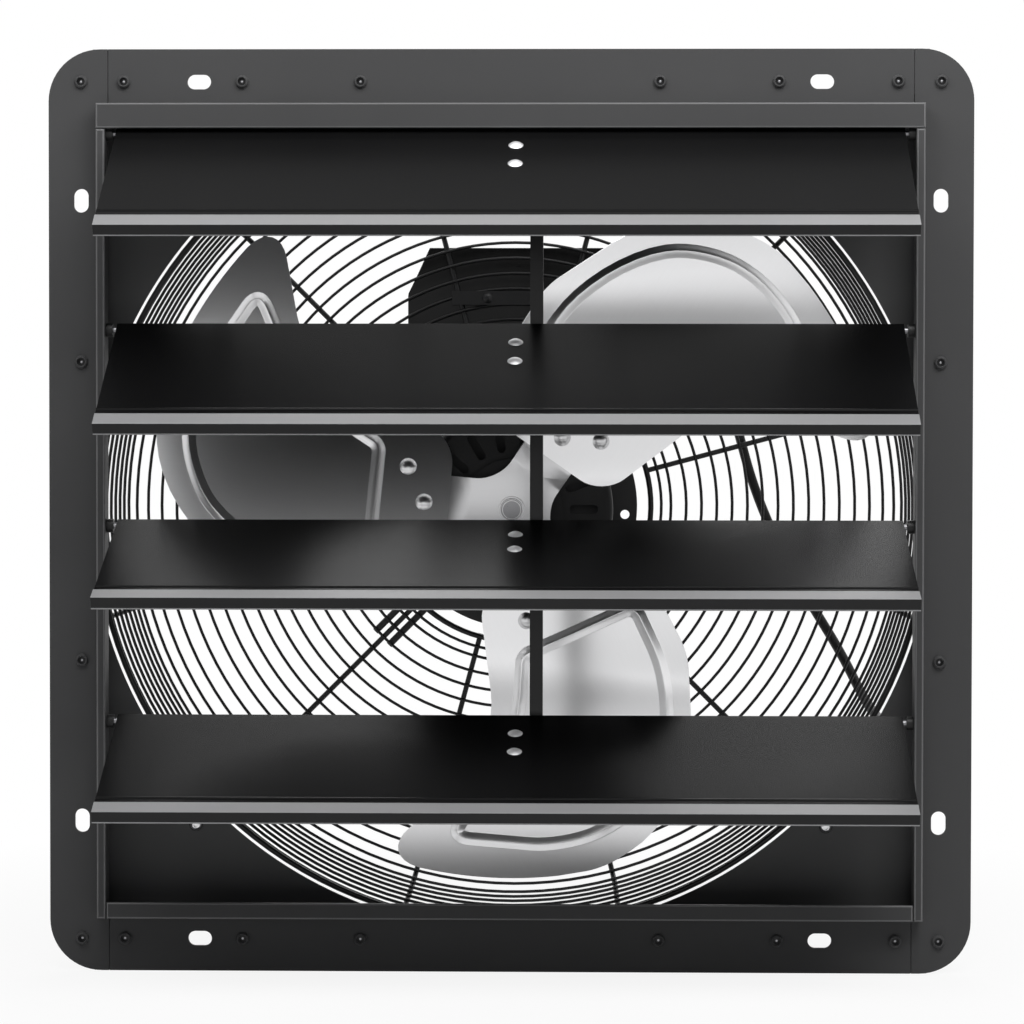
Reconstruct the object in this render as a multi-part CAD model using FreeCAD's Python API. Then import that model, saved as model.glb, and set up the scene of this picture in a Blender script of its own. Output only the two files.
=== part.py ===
import FreeCAD
import Part
import math
import os

# Shutter exhaust fan for a wall opening. Millimetres, +Z up, the louvres face -Y.
# The origin is the centre of the housing flange's back face, which lies on the wall.

# Wall flange and front frame
FLANGE_SIDE = 624.0
FLANGE_CORNER_RADIUS = 35.0
RAIL_SHEET = 1.5
HOUSING_SHEET = 1.5
RAIL_WIDTH = 40.0
RAIL_SEAM_GAP = 0.5
LIP_HEIGHT = 17.0
SIDE_LIP_WIDTH = 6.0
LIP_INSET = 37.5
TOP_LIP_DROP = 17.0
BOTTOM_LIP_RISE = 11.0
TOP_LIP_OVERHANG = 6.0

# Slots for the wall screws and the screws that join rails and housing
SLOT_SPACING = 420.0
SLOT_EDGE_DISTANCE = 22.0
SLOT_LENGTH = 16.0
SLOT_WIDTH = 10.0
SCREW_SHARES = [0.3483, 0.6241, 0.9]
SCREW_SHANK_RADIUS = 2.5
SCREW_HEAD_RADIUS = 3.6
SCREW_HEAD_EDGE_RADIUS = 0.7
SCREW_HEAD_HEIGHT = 3.2
SCREW_SOCKET_RADIUS = 1.7
SCREW_SOCKET_DEPTH = 1.8
WASHER_RADIUS = 4.6
WASHER_HEIGHT = 0.8
NUT_RADIUS = 4.4
NUT_HEIGHT = 3.0

# Housing box and the corner gussets that make the round orifice
HOUSING_FLANGE = 28.5
HOUSING_DEPTH = 30.0
ORIFICE_GROWTH = 7.5
GUSSET_SHEET = 1.5

# Louvres
LOUVRE_ANGLES = [58.8, 61.0, 70.4, 68.0]
LOUVRE_SHUT_ANGLE = 4.0
LOUVRE_TOP_DROP = 20.1
LOUVRE_FIELD_MARGIN = 21.0
LOUVRE_PIVOT_Y = -10.0
LOUVRE_END_GAP = 7.2
LOUVRE_SHEET = 1.2
LOUVRE_TOP_REACH = 3.0
LOUVRE_OVERLAP = 2.7
LOUVRE_STRIP_WIDTH = 14.5
LOUVRE_JOGGLE = 1.4
LOUVRE_FLANGE = 6.4
EAR_DROP = 8.0
EAR_DEPTH = 5.0
PIN_RADIUS = 2.0
PIN_CLEARANCE = 0.05
PIN_PLATE_GAP = 0.4
PIN_HEAD_RADIUS = 3.4
PIN_HEAD_HEIGHT = 1.4
BUSH_RADIUS = 3.4
BUSH_BOSS_RADIUS = 4.6
BUSH_BOSS_LENGTH = 4.6

# Louvre cranks and tie rod
LOUVRE_RIVET_X = 4.5
LOUVRE_RIVET_DROPS = [24.0, 50.5]
LOUVRE_RIVET_HEAD_RADIUS = 5.0
LOUVRE_RIVET_HEAD_HEIGHT = 2.0
LOUVRE_RIVET_TAIL_SPREAD = 1.0
LOUVRE_RIVET_SHANK_RADIUS = 2.0
BRACKET_SHEET = 1.5
BRACKET_LEFT = -3.5
BRACKET_WEB_X = 10.5
BRACKET_BASE_TOP = 15.0
BRACKET_BASE_BOTTOM = 59.0
BRACKET_EYE_RADIUS = 5.0
CRANK_Y = 16.0
CRANK_Z = -28.0
ROD_LEFT = 13.6
ROD_WIDTH = 8.8
ROD_DEPTH = 12.0
ROD_SHEET = 1.0
ROD_END_REACH = 9.0
ROD_SLOT_UP = 8.5
ROD_SLOT_DOWN = 2.5
ROD_SLOT_SIDE_PLAY = 2.0
CRANK_PIN_HEAD_RADIUS = 3.6
CRANK_PIN_HEAD_HEIGHT = 1.2
CRANK_PIN_END_PLAY = 0.4

# Guard of round wire
RING_WIRE = 2.2
SPOKE_WIRE = 3.8
BASE_WIRE = 4.0
INNER_RING_WIRE = 4.0
GUARD_BASE_OVERHANG = 2.5
GUARD_FACE_Y = 178.2
GUARD_SHOULDER_RADIUS = 42.0
GUARD_SIDE_TAPER = 4.0
GUARD_INNER_RING_RADIUS = 98.6
GUARD_MOTOR_RINGS = [106.2, 113.2]
GUARD_FACE_RING_FIRST = 124.3
GUARD_FACE_RING_PITCH = 11.1
GUARD_SIDE_RING_PITCH = 15.3
SPOKE_COUNT = 12
SPOKE_FIRST_ANGLE = 15.0
FOOT_SHEET = 2.0
FOOT_WIDTH = 18.0
FOOT_CORNER_RADIUS = 7.2
FOOT_INSIDE = 3.5
FOOT_END = 11.5
FOOT_SCREW_OUT = 19.5

# Motor
MOTOR_RADIUS = 70.5
MOTOR_WALL = 3.0
MOTOR_FRONT_Y = 72.0
FRONT_BELL_DEPTH = 16.0
MOTOR_CASING_LENGTH = 62.0
REAR_BELL_DEPTH = 18.0
BELL_EDGE_RADIUS = 6.0
BELL_BOSS_RADIUS = 35.0
BELL_BOSS_HEIGHT = 4.0
VENT_COUNT = 18
VENT_INNER_RADIUS = 40.0
VENT_OUTER_RADIUS = 60.0
VENT_WIDTH = 6.0
BEARING_RADIUS = 15.0
BEARING_WIDTH = 10.0
SHAFT_RADIUS = 6.0
SHAFT_CLEARANCE = 0.05
STATOR_INNER_RADIUS = 40.0
ROTOR_AIR_GAP = 0.5
CORE_END_GAP = 8.0
MOTOR_PLATE_RADIUS = 88.6
MOTOR_PLATE_SHEET = 2.5
MOTOR_PLATE_BORE = 20.0
MOTOR_PLATE_HOLE_RADIUS = 3.3
MOTOR_PLATE_HOLE_PITCH_RADIUS = 80.0
MOTOR_PLATE_HOLE_ANGLE = -4.5
STANDOFF_RADIUS = 7.0
STANDOFF_PITCH_RADIUS = 52.0
MOTOR_BOLT_RADIUS = 3.0
MOTOR_BOLT_HEAD_RADIUS = 5.5
MOTOR_BOLT_HEAD_HEIGHT = 3.5
SUPPORT_WIRE = 5.0
SUPPORT_WIRE_SPREAD = 7.0
SUPPORT_WIRE_INNER = 66.0
SUPPORT_WIRE_OUTER = 137.0

# Fan
FAN_PLANE_Y = 57.0
FAN_TIP_GAP = 32.5
BLADE_COUNT = 3
BLADE_FIRST_ANGLE = 55.0
BLADE_PITCH_ANGLE = 15.0
BLADE_CUT_REACH = 70.0
BLADE_CAMBER_RADIUS = 1400.0
CAMBER_MARGIN = 10.0
BLADE_SHEET = 1.5
BEAD_WIDTH = 9.0
BEAD_HEIGHT = 3.0
BEAD_WALL = 1.4
SPIDER_SHEET = 3.0
SPIDER_ARM_HALF_WIDTH = 19.5
SPIDER_CROTCH_RADIUS = 26.0
SPIDER_FLAT_REACH = 28.0
SPIDER_ARM_REACH = 92.0
SPIDER_END_HALF_WIDTH = 30.0
SPIDER_END_RADIUS = 13.5
BLADE_ROOT = 44.0
HUB_RADIUS = 16.0
HUB_TAIL = 6.5
SHAFT_NOSE = 0.8
LOCK_NUT_RADIUS = 9.3
LOCK_NUT_HEIGHT = 2.5
BLADE_RIVET_INNER_BACK = 31.0
BLADE_RIVET_OUTER_BACK = 14.0
BLADE_RIVET_SPREAD = 17.5
BLADE_RIVET_HEAD_RADIUS = 6.0
BLADE_RIVET_HEAD_HEIGHT = 2.6
BLADE_RIVET_SHANK_RADIUS = 2.6

# Junction box
BOX_HALF_WIDTH = 78.0
BOX_TOP_HALF_WIDTH = 62.0
BOX_BOTTOM_HALF_WIDTH = 58.0
BOX_TOP_Z = 187.0
BOX_SHOULDER_Z = 154.0
BOX_WAIST_Z = 132.0
BOX_BOTTOM_Z = 104.0
BOX_DEPTH = 36.0
BOX_WALL = 2.5
COVER_THICKNESS = 4.0
COVER_OVERLAP = 2.0
COVER_SCREW_X = 50.0
COVER_SCREW_RADIUS = 2.0
COVER_SCREW_HEAD_RADIUS = 4.0
COVER_SCREW_HEAD_HEIGHT = 2.2
COVER_POST_RADIUS = 5.0
CLAMP_SHEET = 1.5
CLAMP_HALF_WIDTH = 46.0
CLAMP_HALF_HEIGHT = 5.0
CLAMP_SCREW_X = 20.0
CLAMP_RINGS_OUT = 2.5
GLAND_RADIUS = 9.0
GLAND_LENGTH = 6.0
GLAND_EDGE_RADIUS = 1.5
RELIEF_ROOT_RADIUS = 6.5
RELIEF_END_RADIUS = 4.6
RELIEF_LENGTH = 22.0
GLAND_Z = 118.0

# Cord, coil, tie and plug
CORD_DIAMETER = 7.0
CORD_BEND_SHARE = 0.45
CORD_STRAIGHT = 26.0
COIL_CENTRE_X = 243.0
COIL_CENTRE_Z = -234.0
COIL_INNER_RADIUS = 31.0
COIL_PITCH = 9.2
COIL_LAYERS = 4
COIL_HALF_TURNS_PER_LAYER = 2
COIL_LAYER_PITCH = 8.8
COIL_LEAD = 22.0
TIE_SHEET = 1.2
TIE_WIDTH = 5.0
TIE_CLEARANCE = 0.5
PLUG_LENGTH = 42.0
PLUG_WIDTH = 24.0
PLUG_DEPTH = 16.0
PLUG_NECK_RADIUS = 5.5
PLUG_NECK_LENGTH = 14.0
PLUG_PIN_LENGTH = 17.0
PLUG_PIN_WIDTH = 6.3
PLUG_PIN_SHEET = 1.5
PLUG_PIN_SPREAD = 6.35

X_AXIS = FreeCAD.Vector(1, 0, 0)
Y_AXIS = FreeCAD.Vector(0, 1, 0)
Z_AXIS = FreeCAD.Vector(0, 0, 1)
ORIGIN = FreeCAD.Vector(0, 0, 0)

# Sizes that follow from the ones above
FLANGE_HALF = FLANGE_SIDE / 2
SIDE_RAIL_INNER = FLANGE_HALF - RAIL_WIDTH
LIP_OUTER = FLANGE_HALF - LIP_INSET
SLOT_LINE = FLANGE_HALF - SLOT_EDGE_DISTANCE
SCREW_OFFSETS = [SLOT_LINE * share for share in SCREW_SHARES]
HOUSING_HALF = FLANGE_HALF - HOUSING_FLANGE
ORIFICE_RADIUS = HOUSING_HALF + ORIFICE_GROWTH
LOUVRE_TOP_Z = LIP_OUTER - LOUVRE_TOP_DROP
LOUVRE_PITCH = (2 * LIP_OUTER - LOUVRE_FIELD_MARGIN) / len(LOUVRE_ANGLES)
LOUVRE_HALF_LENGTH = SIDE_RAIL_INNER - LOUVRE_END_GAP
LOUVRE_DROP = LOUVRE_PITCH + LOUVRE_OVERLAP
GUARD_BASE_RADIUS = HOUSING_HALF + GUARD_BASE_OVERHANG
FOOT_INNER_RADIUS = GUARD_BASE_RADIUS - FOOT_INSIDE
FOOT_SCREW_RADIUS = GUARD_BASE_RADIUS + FOOT_SCREW_OUT
FOOT_OUTER_RADIUS = FOOT_SCREW_RADIUS + FOOT_END
FAN_TIP_RADIUS = ORIFICE_RADIUS - FAN_TIP_GAP
BLADE_RIVET_INNER = SPIDER_ARM_REACH - BLADE_RIVET_INNER_BACK
BLADE_RIVET_OUTER = SPIDER_ARM_REACH - BLADE_RIVET_OUTER_BACK
HOUSING_INNER = HOUSING_HALF - HOUSING_SHEET
RAIL_BACK_Y = -HOUSING_SHEET
RAIL_FRONT_Y = RAIL_BACK_Y - RAIL_SHEET
LIP_FRONT_Y = RAIL_FRONT_Y - LIP_HEIGHT

os.makedirs("parts", exist_ok=True)


def vec(x, y, z):
    return FreeCAD.Vector(x, y, z)


def save(name, shapes):
    """Write one node from one or more solids."""
    shape = shapes if isinstance(shapes, Part.Shape) else Part.makeCompound(shapes)
    shape.exportStep("parts/" + name + ".step")
    print(name, "solids", len(shape.Solids), "valid", shape.isValid(), "volume", round(shape.Volume))


def block(x_range, y_range, z_range):
    x0, x1 = sorted(x_range)
    y0, y1 = sorted(y_range)
    z0, z1 = sorted(z_range)
    return Part.makeBox(x1 - x0, y1 - y0, z1 - z0, vec(x0, y0, z0))


def rod_x(radius, x_range, y, z):
    x0, x1 = sorted(x_range)
    return Part.makeCylinder(radius, x1 - x0, vec(x0, y, z), X_AXIS)


def rod_y(radius, y_range, x=0.0, z=0.0):
    y0, y1 = sorted(y_range)
    return Part.makeCylinder(radius, y1 - y0, vec(x, y0, z), Y_AXIS)


def ring_y(outer, inner, y_range, x=0.0, z=0.0):
    return rod_y(outer, y_range, x, z).cut(rod_y(inner, y_range, x, z))


def prism_x(points, x_range):
    """Extrude a (y, z) outline along X."""
    x0, x1 = sorted(x_range)
    corners = [vec(x0, y, z) for y, z in points]
    face = Part.Face(Part.makePolygon(corners + corners[:1]))
    return face.extrude(vec(x1 - x0, 0, 0))


def prism_y(points, y_range):
    """Extrude an (x, z) outline along Y."""
    y0, y1 = sorted(y_range)
    corners = [vec(x, y0, z) for x, z in points]
    face = Part.Face(Part.makePolygon(corners + corners[:1]))
    return face.extrude(vec(0, y1 - y0, 0))


def prism_z(points, z_range):
    """Extrude an (x, y) outline along Z."""
    z0, z1 = sorted(z_range)
    corners = [vec(x, y, z0) for x, y in points]
    face = Part.Face(Part.makePolygon(corners + corners[:1]))
    return face.extrude(vec(0, 0, z1 - z0))


def round_edges_y(solid, corners):
    """Round the edges along Y that stand at the given (x, z, radius) corners."""
    for x, z, radius in corners:
        edges = [
            edge
            for edge in solid.Edges
            if len(edge.Vertexes) == 2
            and all(math.hypot(v.X - x, v.Z - z) < 0.5 for v in edge.Vertexes)
        ]
        solid = solid.makeFillet(radius, edges)
    return solid


def folded_strip(points, thickness):
    """Outline of a sheet folded along a line of points; the sheet lies to the left of the line."""
    normals = []
    for (a0, b0), (a1, b1) in zip(points, points[1:]):
        length = math.hypot(a1 - a0, b1 - b0)
        normals.append((-(b1 - b0) / length, (a1 - a0) / length))
    offset = []
    for index, (a, b) in enumerate(points):
        before = normals[max(index - 1, 0)]
        after = normals[min(index, len(normals) - 1)]
        scale = thickness / (1 + before[0] * after[0] + before[1] * after[1])
        offset.append((a + scale * (before[0] + after[0]), b + scale * (before[1] + after[1])))
    return points + offset[::-1]


def slot_y(length, width, y_range, x, z, upright):
    """A round-ended slot through Y."""
    half = (length - width) / 2
    dx, dz = (0, half) if upright else (half, 0)
    radius = width / 2
    ends = [rod_y(radius, y_range, x + s * dx, z + s * dz) for s in (-1, 1)]
    middle = block(
        (x - dx - (radius if upright else 0), x + dx + (radius if upright else 0)),
        y_range,
        (z - dz - (0 if upright else radius), z + dz + (0 if upright else radius)),
    )
    return ends[0].fuse(ends[1]).fuse(middle).removeSplitter()


def turned_y(shape, angle):
    """A copy turned about the fan axis, anticlockwise as seen from the front."""
    copy = shape.copy()
    copy.rotate(ORIGIN, Y_AXIS, -angle)
    return copy


def mirrored_x(shape):
    return shape.mirror(ORIGIN, X_AXIS)


# Places of the flange's slots and screws
def slot_places():
    half = SLOT_SPACING / 2
    level = [(s * half, t * SLOT_LINE, False) for s in (-1, 1) for t in (-1, 1)]
    upright = [(s * SLOT_LINE, t * half, True) for s in (-1, 1) for t in (-1, 1)]
    return level + upright


def screw_places():
    rows = [(s * x, t * SLOT_LINE) for x in SCREW_OFFSETS for s in (-1, 1) for t in (-1, 1)]
    columns = [(s * SLOT_LINE, t * SCREW_OFFSETS[0]) for s in (-1, 1) for t in (-1, 1)]
    corners = [(s * SLOT_LINE, t * SLOT_LINE) for s in (-1, 1) for t in (-1, 1)]
    return rows + columns + corners


def pierced(shape):
    """Cut the flange's slots and screw holes where they cross this shape."""
    deep = (LIP_FRONT_Y - 1, HOUSING_SHEET)
    tools = [slot_y(SLOT_LENGTH, SLOT_WIDTH, deep, x, z, up) for x, z, up in slot_places()]
    tools += [rod_y(SCREW_SHANK_RADIUS, deep, x, z) for x, z in screw_places()]
    near = [tool for tool in tools if tool.BoundBox.intersect(shape.BoundBox)]
    return shape.cut(near)


def louvre_pivots():
    return [LOUVRE_TOP_Z - LOUVRE_PITCH * index for index in range(len(LOUVRE_ANGLES))]


def side_flange(inner, y_range):
    """Right-hand strip of the wall flange, with the two rounded corners."""
    square = block((-FLANGE_HALF, FLANGE_HALF), y_range, (-FLANGE_HALF, FLANGE_HALF))
    corners = [(FLANGE_HALF, s * FLANGE_HALF, FLANGE_CORNER_RADIUS) for s in (-1, 1)]
    square = round_edges_y(square, corners)
    return square.common(block((inner, FLANGE_HALF), y_range, (-FLANGE_HALF, FLANGE_HALF)))


# Front frame rails
def side_rail():
    """Right rail: flange with rounded corners and a hollow raised lip."""
    flange = side_flange(SIDE_RAIL_INNER, (RAIL_FRONT_Y, RAIL_BACK_Y))
    outer = SIDE_RAIL_INNER + SIDE_LIP_WIDTH
    section = folded_strip(
        [
            (SIDE_RAIL_INNER, RAIL_FRONT_Y),
            (SIDE_RAIL_INNER, LIP_FRONT_Y),
            (outer, LIP_FRONT_Y),
            (outer, RAIL_FRONT_Y),
        ],
        RAIL_SHEET,
    )
    lip = prism_z(section, (-LIP_OUTER, LIP_OUTER - TOP_LIP_DROP - RAIL_SEAM_GAP))
    rail = flange.fuse(lip).removeSplitter()
    holes = [
        rod_x(BUSH_RADIUS, (SIDE_RAIL_INNER - 1, SIDE_RAIL_INNER + RAIL_SHEET), LOUVRE_PIVOT_Y, z)
        for z in louvre_pivots()
    ]
    return pierced(rail.cut(holes))


def cross_rail(inward_lip, lip_half_length, side):
    """Top rail (side 1) or bottom rail (side -1): flange, web and an inward lip."""
    seam = SIDE_RAIL_INNER - RAIL_SEAM_GAP
    flange_inner = LIP_OUTER - RAIL_SHEET
    flange = block(
        (-seam, seam), (RAIL_FRONT_Y, RAIL_BACK_Y), (side * flange_inner, side * FLANGE_HALF)
    )
    web = block(
        (-lip_half_length, lip_half_length),
        (LIP_FRONT_Y, RAIL_FRONT_Y),
        (side * flange_inner, side * LIP_OUTER),
    )
    strip = block(
        (-lip_half_length, lip_half_length),
        (LIP_FRONT_Y, LIP_FRONT_Y + RAIL_SHEET),
        (side * (LIP_OUTER - inward_lip), side * LIP_OUTER),
    )
    return pierced(flange.fuse(web).fuse(strip).removeSplitter())


right_rail = side_rail()
save("right_frame_rail", right_rail)
save("left_frame_rail", mirrored_x(right_rail))
save("top_frame_rail", cross_rail(TOP_LIP_DROP, SIDE_RAIL_INNER + TOP_LIP_OVERHANG, 1))
save("bottom_frame_rail", cross_rail(BOTTOM_LIP_RISE, SIDE_RAIL_INNER - RAIL_SEAM_GAP, -1))


# Housing walls
def housing_side_wall():
    flange = side_flange(HOUSING_INNER, (RAIL_BACK_Y, 0))
    wall = block((HOUSING_INNER, HOUSING_HALF), (RAIL_BACK_Y, HOUSING_DEPTH), (-HOUSING_HALF, HOUSING_HALF))
    return pierced(flange.fuse(wall).removeSplitter())


def housing_cross_wall(side):
    flange = block(
        (-HOUSING_INNER, HOUSING_INNER), (RAIL_BACK_Y, 0), (side * HOUSING_INNER, side * FLANGE_HALF)
    )
    wall = block(
        (-HOUSING_INNER, HOUSING_INNER),
        (RAIL_BACK_Y, HOUSING_DEPTH),
        (side * HOUSING_INNER, side * HOUSING_HALF),
    )
    return pierced(flange.fuse(wall).removeSplitter())


right_wall = housing_side_wall()
save("housing_right_wall", right_wall)
save("housing_left_wall", mirrored_x(right_wall))
save("housing_top_wall", housing_cross_wall(1))
save("housing_bottom_wall", housing_cross_wall(-1))


def corner_gussets():
    y_range = (HOUSING_DEPTH - GUSSET_SHEET, HOUSING_DEPTH)
    sheet = block((0, HOUSING_INNER), y_range, (0, HOUSING_INNER)).cut(rod_y(ORIFICE_RADIUS, y_range))
    reach = FOOT_SCREW_RADIUS / math.sqrt(2)
    sheet = sheet.cut(rod_y(SCREW_SHANK_RADIUS, y_range, reach, reach))
    return [turned_y(sheet, 90 * index) for index in range(4)]


save("corner_gussets", corner_gussets())


# Fasteners of the flange
def socket_screw(tail_y, face_y):
    """Socket screw with a washer, its head standing off face_y towards -Y."""
    head_y = face_y - WASHER_HEIGHT
    washer = ring_y(WASHER_RADIUS, SCREW_SHANK_RADIUS, (head_y, face_y))
    head = rod_y(SCREW_HEAD_RADIUS, (head_y - SCREW_HEAD_HEIGHT, head_y))
    rim = [edge for edge in head.Edges if abs(edge.CenterOfMass.y - head_y + SCREW_HEAD_HEIGHT) < 0.01]
    head = head.makeFillet(SCREW_HEAD_EDGE_RADIUS, rim)
    socket_y = head_y - SCREW_HEAD_HEIGHT
    head = head.cut(rod_y(SCREW_SOCKET_RADIUS, (socket_y, socket_y + SCREW_SOCKET_DEPTH)))
    shank = rod_y(SCREW_SHANK_RADIUS, (head_y, tail_y))
    return head.fuse(shank).fuse(washer).removeSplitter()


def hex_nut(y, x, z):
    """Six-sided nut that starts at y, with a hole for the screw."""
    points = [
        (x + NUT_RADIUS * math.cos(math.radians(60 * k)), z + NUT_RADIUS * math.sin(math.radians(60 * k)))
        for k in range(6)
    ]
    y_range = (y, y + NUT_HEIGHT)
    return prism_y(points, y_range).cut(rod_y(SCREW_SHANK_RADIUS, y_range, x, z))


# The flange screws are cut off flush, so that the housing flange lies flat on the wall
flange_screw = socket_screw(0, RAIL_FRONT_Y)
save("flange_screws", [flange_screw.translated(vec(x, 0, z)) for x, z in screw_places()])


def pivot_bush(z):
    """Right-hand bush: a boss inside the lip and a neck in its web."""
    boss_end = SIDE_RAIL_INNER - BUSH_BOSS_LENGTH
    boss = rod_x(BUSH_BOSS_RADIUS, (boss_end, SIDE_RAIL_INNER), LOUVRE_PIVOT_Y, z)
    neck = rod_x(BUSH_RADIUS, (SIDE_RAIL_INNER, SIDE_RAIL_INNER + RAIL_SHEET), LOUVRE_PIVOT_Y, z)
    bore = rod_x(
        PIN_RADIUS + PIN_CLEARANCE, (boss_end, SIDE_RAIL_INNER + RAIL_SHEET), LOUVRE_PIVOT_Y, z
    )
    return boss.fuse(neck).cut(bore)


right_bushes = [pivot_bush(z) for z in louvre_pivots()]
save("pivot_bushes", right_bushes + [mirrored_x(bush) for bush in right_bushes])


# Louvres, drawn shut and upright with the pivot at (0, LOUVRE_PIVOT_Y, pivot z), then swung open
PLATE_BACK = -PIN_RADIUS - PIN_PLATE_GAP


def swung(shape, index):
    copy = shape.translated(vec(0, LOUVRE_PIVOT_Y, louvre_pivots()[index]))
    copy.rotate(vec(0, LOUVRE_PIVOT_Y, louvre_pivots()[index]), X_AXIS, -LOUVRE_ANGLES[index])
    return copy


def louvre_rivet_holes(radius, y_range):
    return [rod_y(radius, y_range, LOUVRE_RIVET_X, -drop) for drop in LOUVRE_RIVET_DROPS]


def louvre_blade():
    """Sheet with a joggled strip and a turned-back flange along its lower edge, and an ear at each end."""
    strip_top = LOUVRE_STRIP_WIDTH - LOUVRE_DROP
    strip_back = PLATE_BACK - LOUVRE_JOGGLE
    outline = folded_strip(
        [
            (strip_back + LOUVRE_FLANGE - LOUVRE_SHEET, LOUVRE_SHEET - LOUVRE_DROP),
            (strip_back, LOUVRE_SHEET - LOUVRE_DROP),
            (strip_back, strip_top),
            (PLATE_BACK, strip_top + LOUVRE_JOGGLE),
            (PLATE_BACK, LOUVRE_TOP_REACH),
        ],
        LOUVRE_SHEET,
    )
    sheet = prism_x(outline, (-LOUVRE_HALF_LENGTH, LOUVRE_HALF_LENGTH))
    ear = block(
        (LOUVRE_HALF_LENGTH - LOUVRE_SHEET, LOUVRE_HALF_LENGTH),
        (PLATE_BACK, EAR_DEPTH),
        (-EAR_DROP, LOUVRE_TOP_REACH),
    )
    ear = ear.cut(rod_x(PIN_RADIUS, (LOUVRE_HALF_LENGTH - EAR_DEPTH, LOUVRE_HALF_LENGTH), 0, 0))
    blade = sheet.fuse(ear).fuse(mirrored_x(ear)).removeSplitter()
    return blade.cut(louvre_rivet_holes(LOUVRE_RIVET_SHANK_RADIUS, (PLATE_BACK - 2 * LOUVRE_SHEET, 0)))


def pivot_pins():
    """A headed pin through each ear, into the bush."""
    inner = LOUVRE_HALF_LENGTH - LOUVRE_SHEET
    head = rod_x(PIN_HEAD_RADIUS, (inner - PIN_HEAD_HEIGHT, inner), 0, 0)
    beyond_plate = (-PIN_HEAD_RADIUS, PLATE_BACK)
    head = head.cut(block((inner - PIN_HEAD_HEIGHT, inner), beyond_plate, (-EAR_DROP, EAR_DROP)))
    shank = rod_x(PIN_RADIUS, (inner, SIDE_RAIL_INNER + RAIL_SHEET), 0, 0)
    pin = head.fuse(shank).removeSplitter()
    return [pin, mirrored_x(pin)]


def crank_place(angle):
    """The crank pin's place on the shut louvre, so that it lands on CRANK_Y, CRANK_Z when open."""
    c = math.cos(math.radians(angle))
    s = math.sin(math.radians(angle))
    return (CRANK_Y * c - CRANK_Z * s, CRANK_Y * s + CRANK_Z * c)


def crank_bracket(angle):
    """Angle bracket behind the louvre: a riveted base, a web, an eye and the crank pin."""
    web_end = BRACKET_WEB_X + BRACKET_SHEET
    base = block(
        (BRACKET_LEFT, web_end),
        (PLATE_BACK, PLATE_BACK + BRACKET_SHEET),
        (-BRACKET_BASE_BOTTOM, -BRACKET_BASE_TOP),
    )
    y, z = crank_place(angle)
    slope = math.atan2(y - PLATE_BACK, z + BRACKET_BASE_BOTTOM)
    lower = (y + BRACKET_EYE_RADIUS * math.cos(slope), z - BRACKET_EYE_RADIUS * math.sin(slope))
    rise = math.atan2(y - PLATE_BACK, z + BRACKET_BASE_TOP)
    upper = (y - BRACKET_EYE_RADIUS * math.cos(rise), z + BRACKET_EYE_RADIUS * math.sin(rise))
    web = prism_x(
        [(PLATE_BACK, -BRACKET_BASE_TOP), (PLATE_BACK, -BRACKET_BASE_BOTTOM), lower, upper],
        (BRACKET_WEB_X, web_end),
    )
    eye = rod_x(BRACKET_EYE_RADIUS, (BRACKET_WEB_X, web_end), y, z)
    rod_end = ROD_LEFT + ROD_WIDTH + CRANK_PIN_END_PLAY
    pin = rod_x(PIN_RADIUS, (web_end, rod_end), y, z)
    head = rod_x(CRANK_PIN_HEAD_RADIUS, (rod_end, rod_end + CRANK_PIN_HEAD_HEIGHT), y, z)
    bracket = base.fuse([web, eye, pin, head]).removeSplitter()
    return bracket.cut(louvre_rivet_holes(LOUVRE_RIVET_SHANK_RADIUS, (PLATE_BACK, 0)))


def dome(radius, height, base_y, x, z, side):
    """A round rivet head on the plane base_y, standing towards -Y (side -1) or +Y (side 1)."""
    sphere_radius = (radius * radius + height * height) / (2 * height)
    centre_y = base_y - side * (sphere_radius - height)
    ball = Part.makeSphere(sphere_radius, vec(x, centre_y, z))
    return ball.common(rod_y(radius + 1, (base_y, base_y + side * (height + 1)), x, z))


def louvre_rivets():
    """Round heads on the outer face, shanks and small tails behind the bracket."""
    front = PLATE_BACK - LOUVRE_SHEET
    back = PLATE_BACK + BRACKET_SHEET
    tail_radius = LOUVRE_RIVET_SHANK_RADIUS + LOUVRE_RIVET_TAIL_SPREAD
    rivets = []
    for drop in LOUVRE_RIVET_DROPS:
        head = dome(LOUVRE_RIVET_HEAD_RADIUS, LOUVRE_RIVET_HEAD_HEIGHT, front, LOUVRE_RIVET_X, -drop, -1)
        shank = rod_y(LOUVRE_RIVET_SHANK_RADIUS, (front, back), LOUVRE_RIVET_X, -drop)
        tail = dome(tail_radius, LOUVRE_RIVET_HEAD_HEIGHT / 2, back, LOUVRE_RIVET_X, -drop, 1)
        rivets.append(head.fuse(shank).fuse(tail).removeSplitter())
    return rivets


blade_shape = louvre_blade()
for number, angle in enumerate(LOUVRE_ANGLES, 1):
    save("louvre_blade_" + str(number), swung(blade_shape, number - 1))
    save("louvre_bracket_" + str(number), swung(crank_bracket(angle), number - 1))
    save("louvre_rivets_" + str(number), [swung(rivet, number - 1) for rivet in louvre_rivets()])
    save("louvre_pins_" + str(number), [swung(pin, number - 1) for pin in pivot_pins()])


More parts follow.
